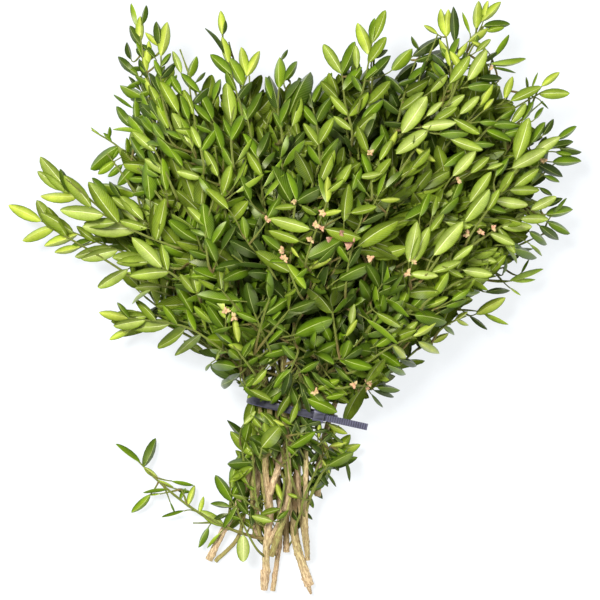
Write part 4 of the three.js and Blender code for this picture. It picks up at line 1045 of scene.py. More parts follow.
# %% Sprays around the bare stems
# these lie low, so the first number is a height; a leaf's tip lies TIP_LOWER below it
LOW_SPRAYS = [
    ("low_left_shoot", 9, [(250, 540), (206, 524), (150, 476), (139, 462)], [
     (139,464, 115,445, "e"), (146,465, 158,439, "d"), (146,466, 158,478, "l"), (157,480, 174,486, "n"),
     (172,481, 194,482, "e"), (165,491, 143,489, "e"), (160,494, 148,496, "n"), (150,495, 133,515, "m"),
     (177,489, 191,491, "d"), (170,502, 174,514, "e"), (184,511, 162,519, "e"), (188,505, 195,485, "l"),
     (198,514, 203,496, "l"), (222,530, 200,512, "p"), (208,528, 197,547, "m"), (220,533, 205,546, "n"),
     (180,500, 186,488, "m"),
    ]),
    ("stems_left", 20, [(258, 506), (254, 476), (252, 440)], [
     (250,446, 226,421, "k"), (251,455, 232,430, "p"), (256,448, 250,423, "o"), (262,462, 261,440, "n"),
     (250,462, 227,464, "g"), (246,472, 230,482, "p"), (250,467, 232,478, "o"), (243,496, 236,476, "g"),
     (262,474, 254,456, "d"), (248,484, 240,470, "o"), (258,432, 248,416, "p"), (272,476, 268,452, "o"),
     (256,466, 240,452, "d"), (242,450, 232,440, "m"), (256,490, 246,484, "m"), (248,440, 240,428, "d"),
     (254,398, 247,425, "o"), (262,402, 256,424, "o"), (256,422, 257,403, "p"), (266,424, 263,405, "o"),
     (274,426, 271,406, "g"), (282,426, 281,408, "d"),
    ]),
    ("stems_left_low", 14, [(256, 548), (244, 526), (236, 506)], [
     (232,501, 217,474, "m"), (230,507, 210,504, "m"), (236,508, 225,529, "m"), (243,535, 245,561, "v"),
     (246,506, 240,488, "g"), (248,514, 236,500, "m"), (228,514, 214,520, "d"), (252,526, 250,506, "d"),
     (238,520, 226,514, "m"), (256,512, 262,494, "m"), (248,498, 232,494, "o"),
    ]),
    ("stems_front", 24, [(284, 480), (282, 500), (277, 519)], [
     (272,521, 252,515, "y"), (284,501, 275,483, "l"), (299,498, 288,494, "p"), (276,520, 289,510, "b"),
     (276,508, 262,514, "p"),
    ]),
    ("stems_right", 22, [(302, 505), (316, 470), (330, 446)], [
     (329,424, 348,434, "l"), (331,446, 347,443, "l"), (324,447, 339,456, "d"), (338,448, 348,460, "n"),
     (324,440, 327,459, "l"), (320,458, 331,473, "l"), (330,458, 338,472, "g"), (312,470, 328,487, "d"),
     (328,474, 337,486, "e"), (346,460, 352,481, "e"), (307,448, 318,462, "d"), (310,462, 320,448, "m"),
     (302,466, 296,444, "d"), (306,460, 304,442, "d"), (316,446, 328,438, "d"), (298,470, 290,452, "m"),
     (334,436, 344,448, "m"), (312,476, 304,458, "d"), (326,432, 338,440, "m"), (316,478, 326,468, "m"),
     (300,430, 297,411, "d"), (292,428, 290,409, "o"), (310,432, 307,413, "d"), (320,436, 317,416, "d"),
    ]),
    ("stems_right_low", 14, [(296, 526), (304, 504), (310, 488)], [
     (307,488, 325,484, "b"), (303,493, 313,509, "m"), (299,510, 312,521, "d"), (300,502, 308,492, "m"),
     (310,482, 322,476, "m"), (300,486, 306,470, "b"), (296,520, 290,506, "d"),
    ]),
    ("right_behind", 8, [(300, 500), (312, 466), (326, 440)], [
     (312,466, 334,470, "m"), (316,456, 342,462, "m"), (320,448, 346,452, "d"), (310,474, 330,482, "d"),
     (324,440, 346,444, "m"), (306,480, 322,500, "d"), (304,486, 296,510, "m"), (314,460, 302,446, "m"),
     (326,438, 340,426, "l"), (308,470, 296,458, "m"), (318,450, 306,436, "m"), (322,444, 334,426, "m"),
    ]),
    ("behind_stems", 3, [(262, 540), (262, 500), (262, 450)], [
     (262,512, 250,486, "o"), (262,500, 276,474, "o"), (264,480, 252,452, "g"), (266,470, 284,452, "o"),
     (262,530, 240,520, "o"), (264,524, 284,506, "p"), (262,548, 252,528, "m"), (270,500, 292,486, "o"),
     (268,460, 262,432, "g"), (264,492, 246,470, "m"), (280,478, 300,458, "o"), (270,446, 290,432, "g"),
     (256,470, 236,450, "o"), (286,500, 306,480, "m"), (250,500, 234,512, "o"), (244,512, 226,530, "o"),
     (290,470, 276,446, "d"), (280,460, 268,436, "g"), (300,452, 288,430, "d"), (286,520, 276,496, "m"),
     (284,500, 290,476, "d"), (292,516, 286,494, "m"), (300,520, 294,500, "d"), (296,540, 288,520, "o"),
     (272,520, 266,498, "o"), (304,500, 300,478, "d"), (270,540, 262,520, "o"), (258,500, 246,494, "d"),
     (284,510, 284,484, "g"), (290,500, 292,474, "g"), (278,500, 276,474, "g"), (300,500, 302,476, "g"),
     (296,530, 300,506, "g"), (284,536, 280,512, "g"), (276,470, 278,446, "g"), (290,460, 292,436, "g"),
    ]),
    ("under_tie", 35, [(292, 480), (288, 458), (286, 436)], [
     (284,425, 266,417, "l"), (292,432, 299,415, "d"), (300,434, 314,420, "d"), (300,434, 313,444, "b"),
     (309,438, 322,445, "m"), (318,438, 319,422, "l"), (262,428, 251,415, "p"), (286,440, 278,422, "m"),
     (296,442, 288,424, "d"), (306,436, 306,418, "d"), (276,440, 266,424, "o"), (314,432, 328,430, "d"),
     (296,452, 306,440, "d"), (300,446, 312,452, "d"), (288,446, 298,456, "b"), (244,424, 256,412, "y"),
     (272,448, 284,436, "g"), (310,444, 322,456, "d"), (288,434, 269,412, "m"), (278,430, 262,411, "o"),
     (300,432, 291,411, "d"), (313,432, 300,415, "d"), (306,425, 324,420, "d"), (270,425, 252,413, "m"),
     (292,424, 280,416, "b"), (322,442, 332,432, "d"),
    ]),
    ("over_tie", 38, [(298, 370), (293, 381), (290, 391)], [
     (289,396, 277,416, "o"), (297,403, 290,423, "o"), (308,399, 338,412, "b"), (284,388, 262,402, "m"),
     (274,382, 260,402, "m"), (282,384, 270,404, "b"), (300,382, 306,406, "d"), (308,388, 324,406, "b"),
     (286,380, 296,404, "m"), (276,374, 266,392, "d"), (300,384, 312,398, "d"), (262,384, 248,398, "p"),
     (296,388, 302,411, "m"), (304,392, 312,412, "d"), (292,388, 286,408, "b"), (268,386, 254,396, "m"),
    ]),
    ("round_leaf", 45, [(260, 458), (261, 452), (262, 447)], [
     (262,446, 280,427, "r"), (258,456, 252,440, "m"),
    ]),
]
READ_SHARE, READ_BELOW = 0.46, 4.0


def read_leaves():
    """Every leaf of the sprays: pixels of root and tip, its height, and half its width for its length."""
    rows = [(leaf, on_dome(*leaf[2:4], lift)[2]) for _, lift, _, leaves in SPRAYS for leaf in leaves]
    rows += [(leaf, height) for _, height, _, leaves in LOW_SPRAYS for leaf in leaves]
    return np.array([[*leaf[:4], z, READ_SHARE * LOOKS[leaf[4]][3]] for leaf, z in rows], float)


READ = read_leaves()


def hides_read_leaf(points):
    """Whether points lie over a read leaf: nearer to its middle line than a share of its length, and higher."""
    pixels = pixel_of(points)[:, None]
    root, tip = READ[None, :, :2], READ[None, :, 2:4]
    way = tip - root
    long = (way**2).sum(-1)
    share = np.clip(((pixels - root) * way).sum(-1) / long, 0, 1)
    off = np.linalg.norm(pixels - root - way * share[..., None], axis=-1)
    over = points[:, None, 2] > READ[None, :, 4] - READ_BELOW
    return (over & (off < READ[None, :, 5] * np.sqrt(long))).any(axis=1)


SPUR = 3.0  # a leaf that stands farther off its twig than this gets a spur
SPUR_RADIUS = (0.7, 0.5)
SPRAY_ROWS = 40


def spray(heap, corners, leaves, seed, points, path=None, shade=0.0):
    """Twig, spurs and leaves of one spray. The twig starts at the nearest older one, unless a path is given that
    has its twig already. A leaf runs from its root to its tip; its face looks at the camera, turned off it by as
    much as its look says: towards the light for a glossy look, to either side by a draw for the others."""
    if path is None:
        corners = np.array(corners, float)
        start = foothold(corners[0] - unit(corners[1] - corners[0]) * 8 - [0, 0, 8], corners[-1], points)
        corners = np.vstack([start, corners])
        path = spline(corners, SHARES)
        twig_points.append(path[::NOTED_EVERY])
        t = np.linspace(0, 1, SPRAY_ROWS)
        tints = np.stack([np.full(SPRAY_ROWS, 0.5), np.clip(t * 1.3, 0, 1)], -1)
        tube(heap, spline(corners, t), 0.95 - 0.4 * t, 6, 2, tints, squared=TWIG_SQUARED)
    made = []
    for number, (root, tip, look) in enumerate(leaves):
        own = seed + 13 * number
        tone, young, face, ratio, off = LOOKS[look]
        flat_way = np.linalg.norm((path - root)[:, :2], axis=1)
        near = path[np.argmin(flat_way)]
        if flat_way.min() < SPUR:
            root = np.array([*near[:2], near[2] + 0.5])
        else:
            near_by = np.vstack([path[::NOTED_EVERY], points])
            start = foothold(root - unit(tip - root) * 12 - [0, 0, 7], tip, near_by)
            twig(heap, np.array([start, root - unit(tip - root) * 5 - [0, 0, 2], root]), SPUR_RADIUS, own)
        way = tip - root
        length = np.linalg.norm(way)
        along = way / length
        flat_up = unit(np.array([0, 0, 1.0]) - along * along[2])
        across = np.cross(along, flat_up)
        to_light = (across * KEY_WAY).sum() if look in GLOSSY else draw(own + 1)
        lean = np.radians(off) * np.sign(to_light)
        made.append({
            "root": root[None],
            "along": along[None],
            "up": (face * (flat_up * np.cos(lean) + across * np.sin(lean)))[None],
            "length": length,
            "width": np.linalg.norm(way[:2]) * ratio * (1.04 + 0.06 * draw(own + 2)),
            "blunt": 0.6 - 0.6 * (ratio - 0.34) + 0.06 * draw(own + 11),
            "tone": np.clip(tone + shade + 0.12 * draw(own + 8), 0, 1),
            "young": np.clip(young + 0.12 * draw(own + 9), 0, 1),
            **varied(READ_SHAPE, own),
        })
    return made


# %% [markdown]
# ## Finishes
# A leaf's top is glossy and green, with a pale rib; its underside is paler and duller, with a cream rib. Both read
# the place across and along the leaf, so rib, veins and rim lie right on each one, and two tints of the leaf: tone
# from dark to light, and young for the lime of new growth.

# %% Node helpers
def fresh(name):
    """A new material with only an output and a principled shader, and its tree."""
    material = bpy.data.materials.new(name)
    material.use_nodes = True
    tree = material.node_tree
    tree.nodes.clear()
    shader = tree.nodes.new("ShaderNodeBsdfPrincipled")
    output = tree.nodes.new("ShaderNodeOutputMaterial")
    tree.links.new(shader.outputs[0], output.inputs[0])
    return material, tree, shader


def put(tree, value, socket):
    """Links a socket, or sets a plain value."""
    if isinstance(value, bpy.types.NodeSocket):
        tree.links.new(value, socket)
    else:
        socket.default_value = value


def settings(shader, **values):
    """Plain values of a shader's sockets, each by its name with _ for a space."""
    for name, value in values.items():
        shader.inputs[name.replace("_", " ")].default_value = value


def bumped(tree, shader, height, distance, strength):
    """Turns a height into relief on the shader."""
    bump = tree.nodes.new("ShaderNodeBump")
    settings(bump, Distance=distance, Strength=strength)
    put(tree, height, bump.inputs["Height"])
    put(tree, bump.outputs[0], shader.inputs["Normal"])


def maths(tree, operation, *values):
    """One arithmetic node."""
    made = tree.nodes.new("ShaderNodeMath")
    made.operation = operation
    for value, socket in zip(values, made.inputs):
        put(tree, value, socket)
    return made.outputs[0]


def ramp(tree, value, low, high, to_low=0.0, to_high=1.0, smooth=True):
    """Maps low..high to to_low..to_high, held at both ends."""
    made = tree.nodes.new("ShaderNodeMapRange")
    made.interpolation_type = "SMOOTHSTEP" if smooth else "LINEAR"
    for item, socket in zip((value, low, high, to_low, to_high), made.inputs):
        put(tree, item, socket)
    return made.outputs[0]


def blend(tree, share, first, second, mode="MIX"):
    """Mixes two colours."""
    made = tree.nodes.new("ShaderNodeMix")
    made.data_type = "RGBA"
    made.blend_type = mode
    put(tree, share, made.inputs["Factor"])
    put(tree, first, made.inputs[6])
    put(tree, second, made.inputs[7])
    return made.outputs[2]


def speckle(tree, scale, detail=2.0, stretch=(1, 1, 1)):
    """Noise over the piece's own coordinates, from 0 to 1."""
    place = tree.nodes.new("ShaderNodeTexCoord").outputs["Object"]
    mapping = tree.nodes.new("ShaderNodeMapping")
    mapping.inputs["Scale"].default_value = stretch
    tree.links.new(place, mapping.inputs["Vector"])
    noise = tree.nodes.new("ShaderNodeTexNoise")
    tree.links.new(mapping.outputs[0], noise.inputs["Vector"])
    settings(noise, Scale=scale, Detail=detail)
    return noise.outputs["Fac"]


def tint(tree, name):
    """One of the numbers that each corner carries."""
    made = tree.nodes.new("ShaderNodeAttribute")
    made.attribute_name = name
    return made.outputs["Fac"]


def place_on(tree):
    """Across and along, from the piece's own map."""
    made = tree.nodes.new("ShaderNodeUVMap")
    made.uv_map = "place"
    split = tree.nodes.new("ShaderNodeSeparateXYZ")
    tree.links.new(made.outputs[0], split.inputs[0])
    return split.outputs[0], split.outputs[1]


def rgb(red, green, blue):
    """A colour given as the 0 to 255 values that a screen shows."""
    c = np.array([red, green, blue]) / 255
    linear = np.where(c <= 0.04045, c / 12.92, ((c + 0.055) / 1.055) ** 2.4)
    return (*linear.tolist(), 1.0)


# %% Leaf finishes
SHEEN = (1.0, 1.0, 0.12, 1.0)
EDGE_SHADE = (0.56, 0.64, 0.3, 1)
COAT_FOR_SHINE, COAT_ROUGHNESS = 1.6, 0.3
VEIN_PAIRS, VEIN_SLANT = 13.0, 9.0


def leaf_finish(name, dark, middle, light, lime, rib, roughness, shine, rib_width, centre):
    """Dark to light by tone, lime by young; paler along the middle and darker towards the edge, with a thin dark
    rim, partly the leaf's own colour and partly painted shade of the edges that turn down; a rib that narrows to the
    tip, and faint side veins."""
    material, tree, shader = fresh(name)
    across, along = place_on(tree)
    tone, young = tint(tree, "tone"), tint(tree, "young")
    colour = blend(tree, ramp(tree, tone, 0.0, 0.5), dark, middle)
    colour = blend(tree, ramp(tree, tone, 0.45, 1.0), colour, light)
    colour = blend(tree, ramp(tree, young, 0.25, 1.0), colour, lime)
    mottle = ramp(tree, speckle(tree, 90.0, 3.0), 0.3, 0.7, 0.82, 1.16)
    colour = blend(tree, 1.0, colour, mottle, "MULTIPLY")
    # paler middle and darker edge: partly the leaf's own colour, partly painted shade of the edges that turn down
    off = maths(tree, "ABSOLUTE", maths(tree, "SUBTRACT", across, 0.5))
    middle_share = ramp(tree, off, 0.08, 0.47, 1.0, 0.0)
    edge_colour_and_shade = blend(tree, middle_share, EDGE_SHADE, centre)
    colour = blend(tree, 1.0, colour, edge_colour_and_shade, "MULTIPLY")
    grain = ramp(tree, speckle(tree, 900.0, 2.0), 0.3, 0.7, 0.92, 1.07)
    colour = blend(tree, 1.0, colour, grain, "MULTIPLY")
    slant = maths(tree, "MULTIPLY", off, VEIN_SLANT)
    slant = maths(tree, "SUBTRACT", maths(tree, "MULTIPLY", along, VEIN_PAIRS), slant)
    wave = maths(tree, "SINE", maths(tree, "MULTIPLY", slant, 6.2832))
    veins = ramp(tree, wave, 0.5, 1.0, 0.0, 0.1)
    colour = blend(tree, veins, colour, rib)
    # thin dark rim: partly the margin's own colour, partly painted shade of the rolled edge
    colour = blend(tree, ramp(tree, off, 0.42, 0.485, 0.0, 0.75), colour, dark)
    width = ramp(tree, along, 0.0, 1.0, rib_width, rib_width * 0.4, smooth=False)
    near = maths(tree, "DIVIDE", off, width)
    strip = maths(tree, "MULTIPLY", ramp(tree, near, 0.45, 1.0, 1.0, 0.0), ramp(tree, along, 0.9, 1.0, 0.85, 0.2))
    rib_colour = blend(tree, ramp(tree, tone, 0.0, 0.7, 0.55, 0.1), rib, colour)
    colour = blend(tree, strip, colour, rib_colour)
    put(tree, colour, shader.inputs["Base Color"])
    settings(shader, Specular_IOR_Level=shine, Specular_Tint=SHEEN)
    settings(shader, Coat_Weight=COAT_FOR_SHINE * shine, Coat_Roughness=COAT_ROUGHNESS)
    uneven = ramp(tree, speckle(tree, 160.0), 0.3, 0.7, roughness - 0.06, roughness + 0.08)
    put(tree, uneven, shader.inputs["Roughness"])
    relief = maths(tree, "ADD", maths(tree, "MULTIPLY", veins, 0.6), maths(tree, "MULTIPLY", strip, -0.8))
    bumped(tree, shader, relief, 0.0004, 0.35)
    return material


LEAF_TOP = leaf_finish(
    "leaf_top", rgb(34, 58, 0), rgb(94, 124, 2), rgb(144, 168, 36), rgb(186, 198, 76), rgb(214, 222, 140),
    0.36, 0.2, 0.04, (1.12, 1.1, 1.15, 1),
)
LEAF_UNDER = leaf_finish(
    "leaf_underside", rgb(84, 102, 6), rgb(130, 150, 34), rgb(170, 184, 88), rgb(198, 206, 122), rgb(238, 242, 188),
    0.55, 0.08, 0.052, (1.12, 1.1, 1.35, 1),
)


# %% Bark finishes
def bark_finish(name, fresh_green, old, dark, green_from):
    """Bark that is green where it is young and tan where it is old, with fissures along it."""
    material, tree, shader = fresh(name)
    young, tone = tint(tree, "young"), tint(tree, "tone")
    around, along = place_on(tree)
    colour = blend(tree, ramp(tree, young, green_from, green_from + 0.4), old, fresh_green)
    grain = tree.nodes.new("ShaderNodeTexNoise")
    spread = tree.nodes.new("ShaderNodeCombineXYZ")
    put(tree, maths(tree, "MULTIPLY", around, 9.0), spread.inputs[0])
    put(tree, maths(tree, "MULTIPLY", along, 0.14), spread.inputs[1])
    put(tree, spread.outputs[0], grain.inputs["Vector"])
    settings(grain, Scale=1.6, Detail=5.0)
    patches = ramp(tree, speckle(tree, 45.0, 2.0), 0.45, 0.65, 0.0, 0.5)
    colour = blend(tree, patches, colour, fresh_green)
    cracks = ramp(tree, grain.outputs["Fac"], 0.4, 0.58)
    colour = blend(tree, ramp(tree, cracks, 0.0, 1.0, 0.56, 0.0), colour, dark)
    colour = blend(tree, ramp(tree, tone, 0.0, 1.0, 0.35, 0.0), colour, dark)
    put(tree, colour, shader.inputs["Base Color"])
    settings(shader, Roughness=0.75)
    bumped(tree, shader, cracks, 0.0008, 0.5)
    return material


TWIG_BARK = bark_finish("twig_bark", rgb(132, 148, 52), rgb(150, 126, 72), rgb(92, 84, 34), 0.1)
STEM_BARK = bark_finish("stem_bark", rgb(176, 174, 98), rgb(232, 204, 158), rgb(128, 90, 54), 0.4)

# %% Cut ends
CUT_WOOD, cut_tree, cut_shader = fresh("cut_wood")
rings = ramp(cut_tree, speckle(cut_tree, 700.0, 3.0), 0.3, 0.7)
put(cut_tree, blend(cut_tree, rings, rgb(226, 196, 150), rgb(196, 158, 112)), cut_shader.inputs["Base Color"])
settings(cut_shader, Roughness=0.7)
print("materials", len(bpy.data.materials))

# %% [markdown]
# ## Growing the shoots
# Each shoot of the solids becomes one piece: its twigs, and the leaves that the rule gives. About a third of those
# are left out again, because they would hide a leaf read from the picture or stand outside the bunch. Then the
# added shoots follow, a piece for each layer. Nothing keeps leaves of different shoots from crossing.

# %% The solids' shoots
LEAFY = [LEAF_TOP, LEAF_UNDER, TWIG_BARK]
LOW_SHOOT = 43
SOLID_PITCH, ADDED_PITCH = 8.5, 8.6  # mm between pairs on the solids' shoots and on the added ones
SOLID_STRAY, ADDED_STRAY = 0.18, 0.3  # how much single leaves stray off the rule there
ADDED_SPREAD = 42
UNDERSIDES = ([30, 110], [0.3, 0.75])  # mm off the middle, and share of shoots there that show their undersides
TIP_LOWER = 2
DEPTH_SHADE = 0.8  # painted shade: how much darker a layer's leaves are made for each share of the dome's height that it lies lower
FIRST_LEAF = 0.87  # size of the leaves on the solids' shoots against the solid ones, which are fewer
FEWEST_LEAVES, FEWEST_ADDED = 3, 3
LOW_PAINTED_SHADE, LOW_SHOOT_SHADE = -0.14, 0.18  # tone of the low sprays, darker as painted shade, and of the low shoot, lighter, against their looks
# tone by region against the looks: partly the leaves' own colour, partly painted light and shade
SHADES = {"left": 0.1, "heart": -0.07, "neck": -0.03}
leaf_total = 0


def low_points(name):
    """Twig and leaves of a spray near the bare stems, in mm: its pixels at its own height, tips a little lower."""
    _, height, twig_pixels, leaves = next(row for row in LOW_SPRAYS if row[0] == name)
    ends = [(seen(a, b, height), seen(c, d, height - TIP_LOWER), look) for a, b, c, d, look in leaves]
    return [seen(px, py, height) for px, py in twig_pixels], ends


def lowest(leaf, count):
    """The few leaves of a set whose tips lie lowest."""
    tip = leaf["root"][:, 2] + leaf["along"][:, 2] * leaf["length"]
    return picked(leaf, np.argsort(tip)[:count])


for number, shoot in enumerate(SHOOTS, 1):
    seed = 1000 * number
    stem, share, tip, face, flat, lift, reach_out, leaf = shoot
    heap, leaves = Heap(), []
    paths = shoot_paths(stem, share, tip, flat, lift, reach_out, BENDS.get(number), seed)
    for corners, radius, own, at in paths:
        twig(heap, corners, radius, own)
        skip = [p[3] for p in paths[1:]] if at == 0 else ()
        if number != LOW_SHOOT:
            size = leaf * FIRST_LEAF
            leaves += leaves_on(corners, radius, own, face, flat, size, SOLID_PITCH, SOLID_STRAY, skip=skip)
    clear = [kept_clear(one) for one in leaves]
    if sum(len(one["length"]) for one in clear) < FEWEST_LEAVES:
        clear = [lowest(kept_clear(one, in_view=False), FEWEST_LEAVES) for one in leaves]
    leaves = clear
    if number == LOW_SHOOT:
        ends, path = low_points("low_left_shoot")[1], bow(paths[0][0], SHARES)
        leaves += spray(heap, None, ends, seed, noted_points(-1), path, LOW_SHOOT_SHADE)
    leaf_total += blades(heap, leaves)
    slot = "leaf_upper" if face > 0 else "leaf_under"
    piece_from(heap, "boxwood_shoot_%02d" % number, LEAFY, slot, "leafy_shoot_%02d" % number)
print("leaves on the solids' shoots:", leaf_total)

# %% The added shoots
for number, (name, part, rows, apart, leaf) in enumerate(LAYERS):
    heap, leaves = Heap(), []
    for corners, radius, own in added_shoots(part, rows, apart, 90000 + 5000 * number, noted_points()):
        undersides = np.interp(abs(corners[2][0]), *UNDERSIDES)
        shown = -1 if draw(own + 8) < 2 * undersides - 1 else 1
        flat = 0.35 + 0.25 * draw(own + 9)
        depth_shade = DEPTH_SHADE * (part - 1)
        grown = leaves_on(corners, radius, own, shown, flat, leaf, ADDED_PITCH, ADDED_STRAY, depth_shade, ADDED_SPREAD)
        clear = [kept_clear(one) for one in grown]
        if sum(len(one["length"]) for one in clear) >= FEWEST_ADDED:
            twig(heap, corners, radius, own)
            leaves += clear
    leaf_total += blades(heap, leaves)
    piece_from(heap, "added_shoots_" + name, LEAFY, "leaf_upper")
    print("layer", name, "leaves so far", leaf_total)

# %% The sprays
regions = {}
for number, (name, lift, twig_pixels, leaves) in enumerate(SPRAYS):
    region = name.split("_")[0]
    heap = regions.setdefault(region, Heap())
    corners = [on_dome(px, py, lift - 3) for px, py in twig_pixels]
    ends = [(on_dome(a, b, lift - 2), on_dome(c, d, lift), look) for a, b, c, d, look in leaves]
    made = spray(heap, corners, ends, 200000 + 1000 * number, noted_points(), shade=SHADES.get(region, 0.0))
    leaf_total += blades(heap, made)
for region, heap in regions.items():
    piece_from(heap, "sprays_" + region, LEAFY, "leaf_upper")
heap = Heap()
for number, row in enumerate(LOW_SPRAYS[1:]):
    corners, ends = low_points(row[0])
    side = 1 if row[2][0][1] < TIE_PIXEL[1] else -1
    made = spray(heap, corners, ends, 300000 + 1000 * number, noted_points(side), shade=LOW_PAINTED_SHADE)
    leaf_total += blades(heap, made)
piece_from(heap, "sprays_low", LEAFY, "leaf_upper")
print("all leaves:", leaf_total)

# %% [markdown]
# ## Buds and a dry leaf
# In the forks between pairs of leaves sit clusters of small flower buds, pinkish tan. Each bud is a short pointed
# egg: rings of corners whose radius follows the sine of the way along. One dry leaf hangs in the heart.

# %% Buds
BUD_PIXELS = [
    (323, 213), (316, 225), (322, 229), (311, 240), (283, 250), (284, 259), (267, 220), (294, 202), (370, 153),
    (413, 262), (407, 273), (370, 258), (226, 311), (234, 317), (354, 385), (368, 383), (366, 389), (315, 392),
    (493, 228), (481, 232), (467, 234), (543, 161), (458, 180), (491, 67),
]
BUD_LENGTH, BUD_RADIUS, BUD_LIFT, BUDS_EACH = 2.8, 0.8, 3.6, 7
BUD_SKIN, bud_tree, bud_shader = fresh("bud_skin")
bud_colour = ramp(bud_tree, speckle(bud_tree, 420.0, 2.0), 0.35, 0.65)
put(bud_tree, blend(bud_tree, bud_colour, rgb(222, 166, 132), rgb(206, 190, 128)), bud_shader.inputs["Base Color"])
settings(bud_shader, Roughness=0.55)

heap = Heap()
points = noted_points()
for number, (px, py) in enumerate(BUD_PIXELS):
    seed = 400000 + 50 * number
    seat = on_dome(px, py, BUD_LIFT)
    start = foothold(seat - [0, 0, 9], seat + [0, 0, 30], points)
    twig(heap, np.array([start, (start + seat) / 2 + [0, 0, 1], seat]), SPUR_RADIUS, seed)
    for k in range(BUDS_EACH):
        way = unit(np.array([draw(seed + 3 * k), draw(seed + 3 * k + 1), 0.55 + 0.3 * draw(seed + 3 * k + 2)]))
        t = np.linspace(0.04, 1, 6)
        size = 1 + 0.25 * draw(seed + 30 + k)
        line = seat + way * (t * BUD_LENGTH * size)[:, None]
        tube(heap, line, BUD_RADIUS * size * np.sin(np.pi * t**0.8 * 0.97) + 0.12, 7, 3, (0.5, 0.5))
piece_from(heap, "bud_clusters", LEAFY + [BUD_SKIN], "bark")
print("bud clusters:", len(BUD_PIXELS))

# %% Dry leaf
DRY_LEAF, dry_tree, dry_shader = fresh("dry_leaf")
# lighter and darker browns in patches of a noise
dry_patches = speckle(dry_tree, 380.0, 4.0)
dry_colour = blend(dry_tree, ramp(dry_tree, dry_patches, 0.35, 0.65), rgb(150, 100, 70), rgb(214, 168, 140))
put(dry_tree, dry_colour, dry_shader.inputs["Base Color"])
settings(dry_shader, Roughness=0.7)
heap = Heap()
dry_ends = [((340, 234), (352, 249)), ((342, 238), (325, 243)), ((338, 236), (357, 237)), ((336, 240), (346, 230))]
made = spray(
    heap, [on_dome(px, py, 0) for px, py in ((330, 262), (336, 248), (341, 236))],
    [(on_dome(*root, 8), on_dome(*tip, 8), "n") for root, tip in dry_ends], 450000, noted_points(),
)
for one in made:
    one["width"], one["curl"], one["twist"], one["drop"] = 5.5, -0.35, 1.4, 2.6
blades(heap, made)
piece_from(heap, "dry_leaf", [DRY_LEAF, DRY_LEAF, TWIG_BARK], "leaf_under")

# %% [markdown]
# ## Woody stems
# Bark of box is tan, finely cracked and knobbly, with swellings where old twigs were cut off. The surface is a tube
# whose radius is changed by sums of sines round and along it; each cut end is a low cone of pale wood.

# %% Stems
STEM_ROWS, STEM_SIDES = 260, 16
KNOTS, KNOT_RISE, KNOT_REACH = 7, 0.3, 2.2
GREEN_STEM, GREEN_SHARE = "stem_thin_left", 0.9


def stem_surface(heap, radii, points, seed, green=None):
    """A stem's tube. Its radius narrows along it and swells by ridges, small bumps and a few knots."""
    thick, thin = radii
    t = np.linspace(0, 1, STEM_ROWS)
    line = spline(points, t)
    along = np.linspace(0, length_of(line), STEM_ROWS)[:, None]
    turn = 2 * np.pi * np.arange(STEM_SIDES)[None] / STEM_SIDES
    radius = (thick + (thin - thick) * t)[:, None]
    ridges = 0.05 * np.sin(3 * turn + along * 0.06 + seed) + 0.035 * np.sin(5 * turn - along * 0.11 + 2 * seed)
    bumps = 0.04 * np.sin(along * 0.5 + seed) * np.cos(turn + seed) + 0.03 * np.sin(along * 1.3 + 2 * turn)
    knots = 0
    for k in range(KNOTS):
        at = along[-1, 0] * (0.06 + 0.13 * k + 0.04 * draw(seed + k))
        side = np.pi * draw(seed + 50 + k)
        bell = np.exp(-(((along - at) / KNOT_REACH) ** 2) - (1 - np.cos(turn - side)) * 2)
        knots = knots + KNOT_RISE * bell
    young = np.clip(t * 1.1, 0, 1) if green is None else np.full(STEM_ROWS, green)
    tints = np.stack([0.5 + 0.3 * np.sin(t * 9 + seed), young], -1)
    tube(heap, line, (radius * (1 + ridges + bumps + knots)).T, STEM_SIDES, 0, tints, ends=1)


stem_nodes = {}
for name in STEMS:
    stem_nodes.setdefault("stem_forked" if name == "fork_upper" else name, []).append(name)
for number, (node, names) in enumerate(stem_nodes.items()):
    heap = Heap()
    for k, name in enumerate(names):
        green = GREEN_SHARE if name == GREEN_STEM else None
        stem_surface(heap, *STEMS[name], 3.1 * number + 1.7 * k, green)
    piece_from(heap, "bark_" + node[5:], [STEM_BARK, CUT_WOOD], "bark", node)
print("stems dressed:", len(stem_nodes))

# %% Thin stems
# heights of the two ends, radii, share of green, pixels of the line from the tie down; the last two rows are a
# splinter at the thick stem's broken end and the end of the forked stem's left branch
THIN_STEMS = [
    ((26, 12), (2.2, 1.8), 0.8, [(285, 404), (286, 440), (289, 492), (281, 526), (271, 556)]),
    ((24, 20), (1.5, 2.0), 0.3, [(292, 406), (288, 436), (278, 468), (270, 494)]),
    ((20, 5), (1.7, 1.5), 0.4, [(298, 408), (298, 470), (301, 512), (308, 560)]),
    ((18, 5), (1.3, 1.2), 0.5, [(290, 408), (288, 490), (296, 532), (301, 554)]),
    ((18, 6), (1.2, 1.1), 0.9, [(262, 408), (254, 470), (252, 505), (262, 542)]),
    ((22, 8), (1.0, 0.9), 0.95, [(270, 408), (262, 462), (266, 505), (276, 548)]),
    ((4, 3), (2.4, 0.7), 0.1, [(306, 574), (308, 584), (311, 594)]),
    ((6, 5), (2.3, 2.0), 0.1, [(265, 570), (265, 580), (264, 590)]),
]
heap = Heap()
for number, ((top, bottom), radii, green, pixels) in enumerate(THIN_STEMS):
    heights = np.linspace(top, bottom, len(pixels))
    line = np.array([seen(px, py, z) for (px, py), z in zip(pixels, heights)])
    stem_surface(heap, radii, line, 5.3 * number + 2, green)
piece_from(heap, "thin_stems", [STEM_BARK, CUT_WOOD], "bark")

# %% [markdown]
# ## Cable tie
# A strap that runs round all stems, through its own head and out as a ribbed tail. Its section is a rectangle with
# rounded corners, carried along the loop, 0.2 mm narrower than the solid's and narrower still on the tail, whose
# top has a tooth every 1.45 mm.

